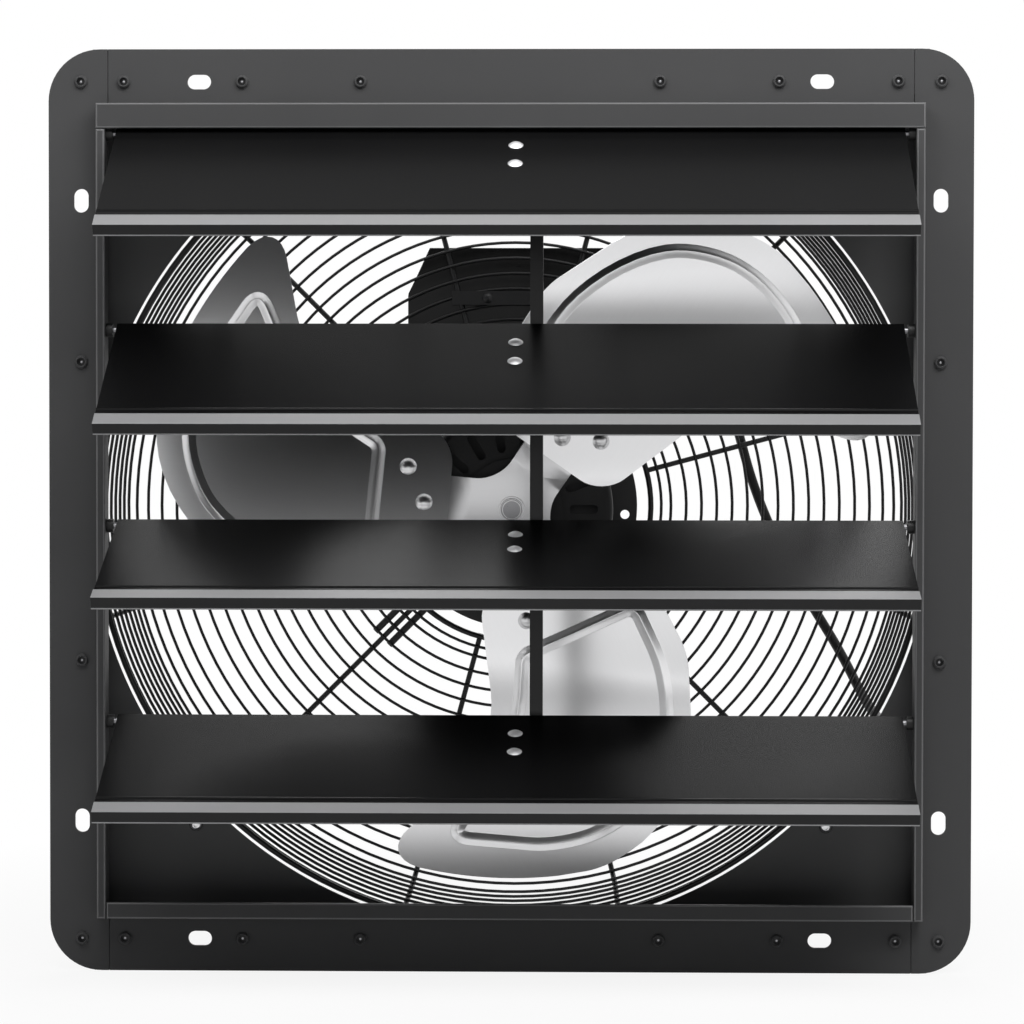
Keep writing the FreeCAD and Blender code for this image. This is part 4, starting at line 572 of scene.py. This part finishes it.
# %% Four gussets with rounded edges
HOUSING_INNER = 282.0
GUSSET_FRONT = 28.5
GUSSET_SHEET = 1.5
ORIFICE = 289.0
ARC_STEPS = 40
arc_start = math.acos(HOUSING_INNER / ORIFICE)
arc_angle = math.pi / 2 - 2 * arc_start
gussets = bmesh.new()
for k in range(4):
    quarter = Matrix.Rotation(math.radians(90 * k), 4, "Y")
    arc_foot = Vector((HOUSING_INNER, GUSSET_FRONT, -ORIFICE * math.sin(arc_start)))
    first = gussets.verts.new(quarter @ arc_foot)
    before = set(gussets.verts)
    bmesh.ops.spin(gussets, geom=[first], axis=(0, 1, 0), angle=arc_angle, steps=ARC_STEPS)
    arc = [first] + [vert for vert in gussets.verts if vert not in before]
    corner = gussets.verts.new(quarter @ Vector((HOUSING_INNER, GUSSET_FRONT, -HOUSING_INNER)))
    gussets.faces.new(arc + [corner])
gussets.normal_update()
facing_back = [face for face in gussets.faces if face.normal.y > 0]
bmesh.ops.reverse_faces(gussets, faces=facing_back)
bmesh.ops.solidify(gussets, geom=gussets.faces[:], thickness=GUSSET_SHEET)
bmesh.ops.recalc_face_normals(gussets, faces=gussets.faces)
print("gusset depth", sorted({round(vert.co.y, 2) for vert in gussets.verts}))
bmesh.ops.scale(gussets, vec=(MM, MM, MM), verts=gussets.verts)
gusset_piece = place_piece(gussets, "corner_gussets_sheet", "frame", ["corner_gussets"], wall_coat)
round_edges(gusset_piece, 0.3)
print(gusset_piece.name, "faces", len(gusset_piece.data.polygons))

# %% [markdown]
# ## The louvres
# Each louvre is one long folded sheet: a plate, a fine rib, a strip that is set forward, and a
# flange turned back along the lower edge. The strip and the flange's back edge have a pale finish that is a
# painted highlight, and the rest of the flange a grey that is painted light. At both ends a small ear is
# bent back to carry the pivot pin.
# A solid block could be cut to this, but a folded sheet is drawn best as it is made: its section is a
# line of points, the line is drawn out sideways, the folds are rounded and the sheet gets its thickness.

# %% Section of a louvre, shut and upright, with its pivot at zero
LOUVRE_HALF = 264.8
LOUVRE_BOTTOM = -138.7
STRIP_TOP = -125.0
FLANGE_BACK = 3.4
# How much of the flange's back edge gets the pale finish, a painted highlight line.
EDGE_HIGHLIGHT_WIDTH = 1.0
PLATE_FRONT = -3.6
PLATE_TOP = 3.0
STRIP_FRONT = -5.0
STRIP_STEP = 1.4
RIB_START = STRIP_TOP + 7.0
RIB_CREST = STRIP_TOP + 7.9
RIB_END = STRIP_TOP + 9.6
RIB_HEIGHT = 0.9
LOUVRE_SHEET = 1.2
LOUVRE_FOLD = 0.45
EAR_BOTTOM = -8.0
EAR_BACK = 5.0
NEAR = 0.1
FOLD_ANGLE = 0.1
louvre_section = [
    (FLANGE_BACK, LOUVRE_BOTTOM),
    (FLANGE_BACK - EDGE_HIGHLIGHT_WIDTH, LOUVRE_BOTTOM),
    (STRIP_FRONT, LOUVRE_BOTTOM),
    (STRIP_FRONT, STRIP_TOP),
    (PLATE_FRONT, STRIP_TOP + STRIP_STEP),
    (PLATE_FRONT, RIB_START),
    (PLATE_FRONT - RIB_HEIGHT, RIB_CREST),
    (PLATE_FRONT, RIB_END),
    (PLATE_FRONT, EAR_BOTTOM),
    (PLATE_FRONT, PLATE_TOP),
]
STRIP_NUMBER = 1
FLANGE_NUMBER = 2
LEVEL = 0.9


def bent_louvre():
    """The folded sheet in millimetres: section, length, ears and rounded folds."""
    shape = bmesh.new()
    line = [shape.verts.new((-LOUVRE_HALF, y, z)) for y, z in louvre_section]
    edges = [shape.edges.new(pair) for pair in zip(line, line[1:])]
    drawn = bmesh.ops.extrude_edge_only(shape, edges=edges)["geom"]
    bmesh.ops.translate(shape, verts=verts_of(drawn), vec=(2 * LOUVRE_HALF, 0, 0))
    shape.normal_update()
    inner = [edge for edge in shape.edges if not edge.is_boundary]
    bmesh.ops.bevel(
        shape,
        geom=[edge for edge in inner if edge.calc_face_angle() > FOLD_ANGLE],
        offset=LOUVRE_FOLD,
        affect="EDGES",
        segments=3,
        profile=0.5,
        material=-1,
    )
    # Finishes come after the bevel, which could give the faces of a fold the finish of either side.
    shape.normal_update()
    # Level flange faces get the grey that is painted light; the strip and the flange's back edge get the
    # pale finish, a painted highlight.
    for face in shape.faces:
        middle = face.calc_center_median()
        level = abs(face.normal.z) > LEVEL
        if level and middle.y < FLANGE_BACK - EDGE_HIGHLIGHT_WIDTH:
            face.material_index = FLANGE_NUMBER
        elif middle.z < STRIP_TOP:
            face.material_index = STRIP_NUMBER
    border = [edge for edge in shape.edges if edge.is_boundary]
    upper = [edge for edge in border if min(vert.co.z for vert in edge.verts) >= EAR_BOTTOM]
    ends = [edge for edge in upper if abs(edge.verts[0].co.x - edge.verts[1].co.x) < NEAR]
    drawn = bmesh.ops.extrude_edge_only(shape, edges=ends)["geom"]
    bmesh.ops.translate(shape, verts=verts_of(drawn), vec=(0, EAR_BACK - PLATE_FRONT, 0))
    bmesh.ops.recalc_face_normals(shape, faces=shape.faces)
    plate = max(shape.faces, key=lambda face: face.calc_area())
    if plate.normal.y > 0:
        bmesh.ops.reverse_faces(shape, faces=shape.faces)
    return shape


# %% Four louvres, each swung to its own angle
LOUVRE_PIVOT_Y = -10.0
LOUVRE_PIVOTS = [254.4, 122.4, -9.6, -141.6]
LOUVRE_ANGLES = [58.8, 61.0, 70.4, 68.0]


def thicken(piece, sheet, even=True):
    """A live wall behind the drawn face, of even thickness where the folds allow it."""
    wall = piece.modifiers.new("sheet", "SOLIDIFY")
    wall.thickness = sheet * MM
    wall.offset = -1
    wall.use_even_offset = even


for number, (height, angle) in enumerate(zip(LOUVRE_PIVOTS, LOUVRE_ANGLES), 1):
    shape = bent_louvre()
    swing = Matrix.Rotation(math.radians(-angle), 4, "X")
    seat = Matrix.Scale(MM, 4) @ Matrix.Translation((0, LOUVRE_PIVOT_Y, height)) @ swing
    bmesh.ops.transform(shape, matrix=seat, verts=shape.verts)
    name = "louvre_blade_" + str(number)
    finishes = louvre_coat, strip_painted_highlight, flange_painted_light
    louvre = place_piece(shape, name + "_sheet", "louvre_" + str(number), [name], *finishes)
    thicken(louvre, LOUVRE_SHEET)
    round_edges(louvre, 0.25, 60)
    print(louvre.name, "faces", len(louvre.data.polygons))

# %% [markdown]
# ## The fan blades
# A blade is pressed from rolled sheet: a ridge like a low roof runs round its middle and stiffens it,
# the panel inside lies between the rim and the ridge in height, and the whole sheet is bent to a
# cylinder and pitched on its arm. The outline is a few corners that are rounded by a vertex bevel, with
# the tip drawn round the fan axis, a little further out towards its lobe. The ridge is a row of insets,
# each a little higher or lower than the last. Then the sheet is sliced across, so that it can bend, and
# every point is moved on to the cylinder.

# %% Rounded corners on a flat outline, and what is done to a drawn sheet
SAME_PLACE = 0.001


def round_corners(shape, corners):
    """Replace corner points by arcs: each corner is a vertex and its radius in millimetres."""
    for corner, radius in corners:
        ways = [(edge.other_vert(corner).co - corner.co).normalized() for edge in corner.link_edges]
        turn = math.pi - ways[0].angle(ways[1])
        bmesh.ops.bevel(
            shape,
            geom=[corner],
            offset=radius * math.tan(turn / 2),
            offset_type="OFFSET",
            affect="VERTICES",
            segments=8,
            profile=0.5,
            material=-1,
        )


def flat_face(shape, outline):
    """A flat face in the fan plane, its corners rounded."""
    corners = [shape.verts.new((u, 0, v)) for u, v, radius in outline]
    shape.faces.new(corners)
    round_corners(shape, [(corner, row[2]) for corner, row in zip(corners, outline) if row[2]])
    shape.faces.ensure_lookup_table()
    return shape.faces[-1]


def slice_across(shape, place, way):
    """Cut the faces of a sheet where a plane through a place, square to a way, meets them."""
    everything = shape.verts[:] + shape.edges[:] + shape.faces[:]
    bmesh.ops.bisect_plane(shape, geom=everything, plane_co=place, plane_no=way, dist=SAME_PLACE)


def face_front(shape):
    """Turn all faces of a sheet to the louvre side."""
    bmesh.ops.recalc_face_normals(shape, faces=shape.faces)
    if sum(face.normal.y * face.calc_area() for face in shape.faces) > 0:
        bmesh.ops.reverse_faces(shape, faces=shape.faces)


print("outline helpers ready")

# %% Outline, ridge and panel of a blade, in millimetres
TIP_RADIUS = 258.5
TIP_START = math.radians(-10.8)
TIP_END = math.radians(-46.3)
TIP_GROWTH = 4.5
TIP_STEPS = 5
ON_TIP = 0.00005
SHOULDER_RADIUS = 60
LOBE_RADIUS = 16
tip_angles = [TIP_START + (TIP_END - TIP_START) * k / TIP_STEPS for k in range(TIP_STEPS + 1)]
tip_radii = [SHOULDER_RADIUS] + [0] * (TIP_STEPS - 1) + [LOBE_RADIUS]


def tip_reach(turn):
    """Distance of the tip edge from the fan axis, which grows towards the lobe."""
    return TIP_RADIUS + TIP_GROWTH * ((turn - TIP_START) / (TIP_END - TIP_START)) ** 2


tip_corners = [
    (tip_reach(turn) * math.cos(turn), tip_reach(turn) * math.sin(turn), radius)
    for turn, radius in zip(tip_angles, tip_radii)
]
# Each corner: how far along the arm, how far beside it, and the radius of its rounding
blade_corners = [
    (44, -46, 26),
    (44, 36, 12),
    (84, 66, 24),
    (140, 68.5, 50),
    (242, 28, 95),
    *tip_corners,
    (150.5, -80.6, 80),
]
ridge_corners = [
    (90.5, -39.5, 13),
    (149, -71, 120),
    (190.5, -148.5, 13),
    (234.5, -67.5, 95),
    (233.5, -5, 80),
    (176, 54.5, 115),
    (90.5, 54.5, 13),
]
# Each ring of the ridge: how far in, and how much higher
RIDGE_RINGS = [
    (0.3, 0.0),
    (0.3, 0.2),
    (2.1, 1.55),
    (2.1, 1.55),
    (0.3, 0.1),
    (0.3, -0.05),
    (2.2, -0.85),
    (2.2, -0.85),
    (0.3, -0.1),
    (0.3, 0.0),
]
SLICES = range(-186, 70, 7)


def to_tip(vert):
    """The factor that puts a point on the tip edge."""
    return tip_reach(math.atan2(vert.co.z, vert.co.x)) / vert.co.xz.length


def flat_blade():
    """The pressed sheet before it is bent, its front towards -Y."""
    shape = bmesh.new()
    rim = flat_face(shape, blade_corners)
    tip = [edge for edge in rim.edges if all(abs(to_tip(vert) - 1) < ON_TIP for vert in edge.verts)]
    made = bmesh.ops.subdivide_edges(shape, edges=tip, cuts=3)["geom_inner"]
    for vert in verts_of(made):
        vert.co *= to_tip(vert)
    bmesh.ops.delete(shape, geom=list(shape.faces), context="FACES_ONLY")
    panel = flat_face(shape, ridge_corners)
    shape.normal_update()
    if panel.normal.y > 0:
        panel.normal_flip()
    for inward, higher in RIDGE_RINGS:
        shape.normal_update()
        bmesh.ops.inset_region(
            shape,
            faces=[panel],
            thickness=inward,
            depth=higher,
            use_boundary=True,
            use_even_offset=True,
        )
    ends = [edge for edge in shape.edges if len(edge.link_faces) < 2]
    made = bmesh.ops.triangle_fill(shape, edges=ends, use_beauty=True, normal=(0, -1, 0))["geom"]
    # The fill between rim and ridge is flat, and without its own edges it shades as one flat face.
    inner_edges = [part for part in made if isinstance(part, bmesh.types.BMEdge)]
    bmesh.ops.dissolve_limit(shape, angle_limit=0.001, verts=[], edges=inner_edges)
    for v in SLICES:
        slice_across(shape, (0, 0, v), (0, 0, 1))
    for edge in shape.edges:
        edge.smooth = not edge.is_boundary
    return shape


# %% Three blades, bent and set on their arms
FAN_PLANE = 57.0
BLADE_SHEET = 1.5
CAMBER = 1400.0
PITCH = math.radians(15)


def sheet_depth(v, behind=0.0):
    """Depth of the bent sheet at v beside the arm, at a distance behind its front."""
    middle = v + CAMBER * math.sin(PITCH)
    return FAN_PLANE - CAMBER * math.cos(PITCH) + math.sqrt((CAMBER + behind) ** 2 - middle**2)


for number, angle in enumerate(BLADE_ANGLES, 1):
    shape = flat_blade()
    for vert in shape.verts:
        vert.co.y += sheet_depth(vert.co.z)
    face_front(shape)
    turn = Matrix.Scale(MM, 4) @ Matrix.Rotation(math.radians(-angle), 4, "Y")
    bmesh.ops.transform(shape, matrix=turn, verts=shape.verts)
    name = "fan_blade_" + str(number)
    blade = place_piece(shape, name + "_sheet", "fan_rotor", [name], blade_sheets[number - 1])
    thicken(blade, BLADE_SHEET, even=False)
    print(blade.name, "faces", len(blade.data.polygons))

# %% [markdown]
# ## The spider
# The spider is a thicker star of sheet with three arms. Its middle is flat on the hub, and each arm is
# twisted to lie against the back of its blade, where three rivets hold it. The star is drawn flat with
# rounded crotches, sliced so that it can twist, and then every point slides from the flat level to the
# blade's back face as it goes out along its arm.

# %% The star, drawn flat and twisted on to the blades
STAR_CROTCH = 22.5
ARM_HALF = 19.5
ARM_START = 29.0
ARM_ROOT = 44.0
ARM_REACH = 92.0
END_HALF = 30.0
ROOT_RADIUS = 20
END_RADIUS = 13.5
CROTCH_RADIUS = 26
TWIST_SLICE = 2.5
SIDE_SLICE = 6
SPIDER_SHEET = 3.0
THIRD = math.radians(120)
star = []
for k in range(3):
    for along, across, turn, radius in (
        (ARM_ROOT, -ARM_HALF, k, ROOT_RADIUS),
        (ARM_REACH, -END_HALF, k, END_RADIUS),
        (ARM_REACH, END_HALF, k, END_RADIUS),
        (ARM_ROOT, ARM_HALF, k, ROOT_RADIUS),
        (STAR_CROTCH, 0, k + 0.5, CROTCH_RADIUS),
    ):
        c = math.cos(turn * THIRD)
        s = math.sin(turn * THIRD)
        star.append((along * c - across * s, along * s + across * c, radius))
shape = bmesh.new()
flat_face(shape, star)
for k in range(3):
    along = Matrix.Rotation(-k * THIRD, 3, "Y") @ Vector((1, 0, 0))
    across = Matrix.Rotation(-k * THIRD, 3, "Y") @ Vector((0, 0, 1))
    for i in range(7):
        slice_across(shape, along * (ARM_START + TWIST_SLICE * i), along)
    for i in range(-4, 5):
        slice_across(shape, across * (SIDE_SLICE * i), across)
flat_level = FAN_PLANE + BLADE_SHEET
for vert in shape.verts:
    turn = round(math.atan2(vert.co.z, vert.co.x) / THIRD) * THIRD
    u = vert.co.x * math.cos(turn) + vert.co.z * math.sin(turn)
    v = vert.co.z * math.cos(turn) - vert.co.x * math.sin(turn)
    share = min(max((u - ARM_START) / (ARM_ROOT - ARM_START), 0), 1)
    vert.co.y = flat_level + share * (sheet_depth(v, BLADE_SHEET) - flat_level)
face_front(shape)
to_first_blade = Matrix.Rotation(math.radians(-BLADE_ANGLES[0]), 4, "Y")
bmesh.ops.transform(shape, matrix=Matrix.Scale(MM, 4) @ to_first_blade, verts=shape.verts)
spider = place_piece(shape, "fan_spider_star", "fan_rotor", ["fan_spider"], spider_sheet)
thicken(spider, SPIDER_SHEET)
round_edges(spider, 0.5, 60)
print(spider.name, "faces", len(spider.data.polygons))

# %% [markdown]
# ## Turned pieces
# Hub, lock nut and screws are round, so a half section turned once round its axis gives each of them.
# Boxes and cylinders could be joined instead, but a section keeps every groove and rounded rim in one
# line of points. Faces take the finish of the zone that they reach to, counted from the axis.

# %% Turn a half section, and repeat it at other places
ZONE_MARGIN = 0.05
SHARP_RIM = math.radians(40)
SIGNS = [(s, t) for s in (-1, 1) for t in (-1, 1)]


def turned(section, zones=(), steps=36):
    """A section of (radius, depth) turned once; a face that passes a zone has the next finish."""
    shape = bmesh.new()
    line = [shape.verts.new((radius, depth, 0)) for radius, depth in section]
    after = line[1:] + line[:1] if section[0][0] > 0 else line[1:]
    edges = [shape.edges.new(pair) for pair in zip(line, after)]
    whole = 2 * math.pi
    bmesh.ops.spin(shape, geom=line + edges, axis=(0, 1, 0), angle=whole, steps=steps, use_merge=True)
    bmesh.ops.remove_doubles(shape, verts=shape.verts, dist=SAME_PLACE)
    bmesh.ops.recalc_face_normals(shape, faces=shape.faces)
    for face in shape.faces:
        reach = max(vert.co.xz.length for vert in face.verts)
        face.material_index = sum(reach > zone + ZONE_MARGIN for zone in zones)
    return shape


def repeated(shape, places):
    """The shape moved to each place, all in one."""
    first = shape.verts[:] + shape.edges[:] + shape.faces[:]
    for place in places:
        copy = bmesh.ops.duplicate(shape, geom=first)["geom"]
        bmesh.ops.translate(shape, verts=verts_of(copy), vec=place)
    bmesh.ops.delete(shape, geom=verts_of(first), context="VERTS")
    return shape


def place_turned(shape, name, body, node, *finishes):
    """A turned shape in millimetres becomes a piece whose sharp rims stay sharp."""
    bmesh.ops.scale(shape, vec=(MM, MM, MM), verts=shape.verts)
    piece = place_piece(shape, name, body, [node], *finishes)
    piece.data.set_sharp_from_angle(angle=SHARP_RIM)
    print(piece.name, "faces", len(piece.data.polygons))


# %% Hub behind the star, and the lock nut in front of it
hub_section = [(6.0, 61.5), (16.0, 61.5), (16.0, 64.4), (15.4, 65.0), (6.0, 65.0)]
place_turned(turned(hub_section), "fan_spider_hub", "fan_rotor", "fan_spider", spider_sheet)
nut_section = [
    (6.0, 58.5),
    (6.0, 57.5),
    (6.7, 57.5),
    (6.9, 56.5),
    (7.2, 56.1),
    (7.6, 56.1),
    (7.9, 56.5),
    (8.1, 57.5),
    (8.6, 57.5),
    (8.8, 57.1),
    (9.1, 57.1),
    (9.3, 57.4),
    (9.3, 58.5),
]
place_turned(turned(nut_section, steps=48), "lock_nut_grooved", "fan_rotor", "lock_nut", rivet_steel)

# %% Guard screws: bright heads on dark washers
WASHER_FRONT = GUSSET_FRONT - 0.8
HEAD_FRONT = WASHER_FRONT - 3.2
SCREW_TAIL = 35.0
HEAD_RADIUS = 3.6
SCREW_CIRCLE = 305.5
guard_screw = [
    (0, HEAD_FRONT + 1.8),
    (1.7, HEAD_FRONT + 1.8),
    (1.7, HEAD_FRONT),
    (2.5, HEAD_FRONT + 0.2),
    (3.2, HEAD_FRONT + 0.7),
    (HEAD_RADIUS, HEAD_FRONT + 1.5),
    (HEAD_RADIUS, WASHER_FRONT),
    (4.4, WASHER_FRONT),
    (4.6, WASHER_FRONT + 0.2),
    (4.6, GUSSET_FRONT),
    (2.5, GUSSET_FRONT),
    (2.5, SCREW_TAIL),
    (0, SCREW_TAIL),
]
reach = SCREW_CIRCLE / math.sqrt(2)
diagonals = [(s * reach, 0, t * reach) for s, t in SIGNS]
four_screws = repeated(turned(guard_screw, [HEAD_RADIUS]), diagonals)
place_turned(four_screws, "guard_screws_turned", "frame", "guard_screws", rivet_steel, screw_oxide)

# %% Flange screws: a coated rim round a black socket with a pale floor
FLANGE_FRONT = -3.0
FLANGE_SCREW_LINE = 290.0
FLANGE_SCREW_PLACES = [101.0, 181.0, 261.0]
SOCKET_FLOOR = 0.8
SOCKET_RADIUS = 2.7
flange_screw = [
    (0, FLANGE_FRONT - 0.5),
    (SOCKET_FLOOR, FLANGE_FRONT - 0.4),
    (1.4, FLANGE_FRONT - 0.1),
    (SOCKET_RADIUS - 0.1, FLANGE_FRONT - 0.1),
    (SOCKET_RADIUS, FLANGE_FRONT - 2.6),
    (3.1, FLANGE_FRONT - 2.8),
    (3.9, FLANGE_FRONT - 2.5),
    (4.3, FLANGE_FRONT - 1.8),
    (4.3, FLANGE_FRONT - 0.4),
    (4.6, FLANGE_FRONT - 0.3),
    (4.6, FLANGE_FRONT),
    (2.5, FLANGE_FRONT),
    (2.5, 0),
    (0, 0),
]
line = FLANGE_SCREW_LINE
screw_places = [(s * line, 0, t * line) for s, t in SIGNS]
screw_places += [(s * x, 0, t * line) for s, t in SIGNS for x in FLANGE_SCREW_PLACES]
screw_places += [(s * line, 0, t * FLANGE_SCREW_PLACES[0]) for s, t in SIGNS]
twenty_screws = repeated(turned(flange_screw, [SOCKET_FLOOR, SOCKET_RADIUS], 24), screw_places)
finishes = pin_steel, screw_oxide, frame_coat
place_turned(twenty_screws, "flange_screws_turned", "frame", "flange_screws", *finishes)
print("flange screws", len(screw_places))

# %% [markdown]
# ## Dressing the measured nodes
# The nodes whose shape is right keep it and only get a finish. The list below names every node once, so
# that none stays bare, also those that a new piece stands for.

# %% Dress every measured node
def wear(piece, finish):
    """One finish over the whole piece."""
    piece.data.materials.clear()
    piece.data.materials.append(finish)


louvres = range(1, 5)
DRESS = [
    (frame_coat, ["left_frame_rail", "right_frame_rail", "top_frame_rail", "bottom_frame_rail"]),
    (wall_coat, ["housing_left_wall", "housing_right_wall", "housing_top_wall"]),
    (wall_coat, ["housing_bottom_wall", "corner_gussets"]),
    (louvre_coat, ["louvre_blade_" + str(i) for i in louvres]),
    (bracket_zinc, ["louvre_bracket_" + str(i) for i in louvres]),
    (rivet_satin, ["louvre_rivets_" + str(i) for i in louvres]),
    (rivet_steel, ["blade_rivets", "guard_screws", "lock_nut", "motor_bolts", "hex_nuts"]),
    (pin_steel, ["louvre_pins_" + str(i) for i in louvres]),
    (screw_oxide, ["flange_screws", "box_screws"]),
    (bush_plastic, ["pivot_bushes", "cord_tie", "mains_plug", "cable_gland"]),
    (guard_coat, ["guard_side_rings", "guard_face_rings", "guard_face_spokes", "guard_side_wires"]),
    (guard_coat, ["guard_feet", "motor_plate", "motor_support_wires", "box_clamp", "tie_rod"]),
    (motor_coat, ["motor_front_bell", "motor_casing", "motor_rear_bell"]),
    (core_iron, ["motor_stator", "rotor_core"]),
    (shaft_steel, ["motor_shaft", "motor_bearings"]),
    (box_plastic, ["junction_box", "junction_box_cover"]),
    (spider_sheet, ["fan_spider"]),
    (cord_rubber, ["supply_cord", "cord_coil"]),
]
DRESS += [(sheet, ["fan_blade_" + str(i)]) for i, sheet in enumerate(blade_sheets, 1)]
for finish, names in DRESS:
    for name in names:
        wear(nodes[name], finish)
wear(supply_lead, cord_rubber)
bare = sorted(set(nodes) - {name for _, names in DRESS for name in names})
print("nodes without a finish", bare)
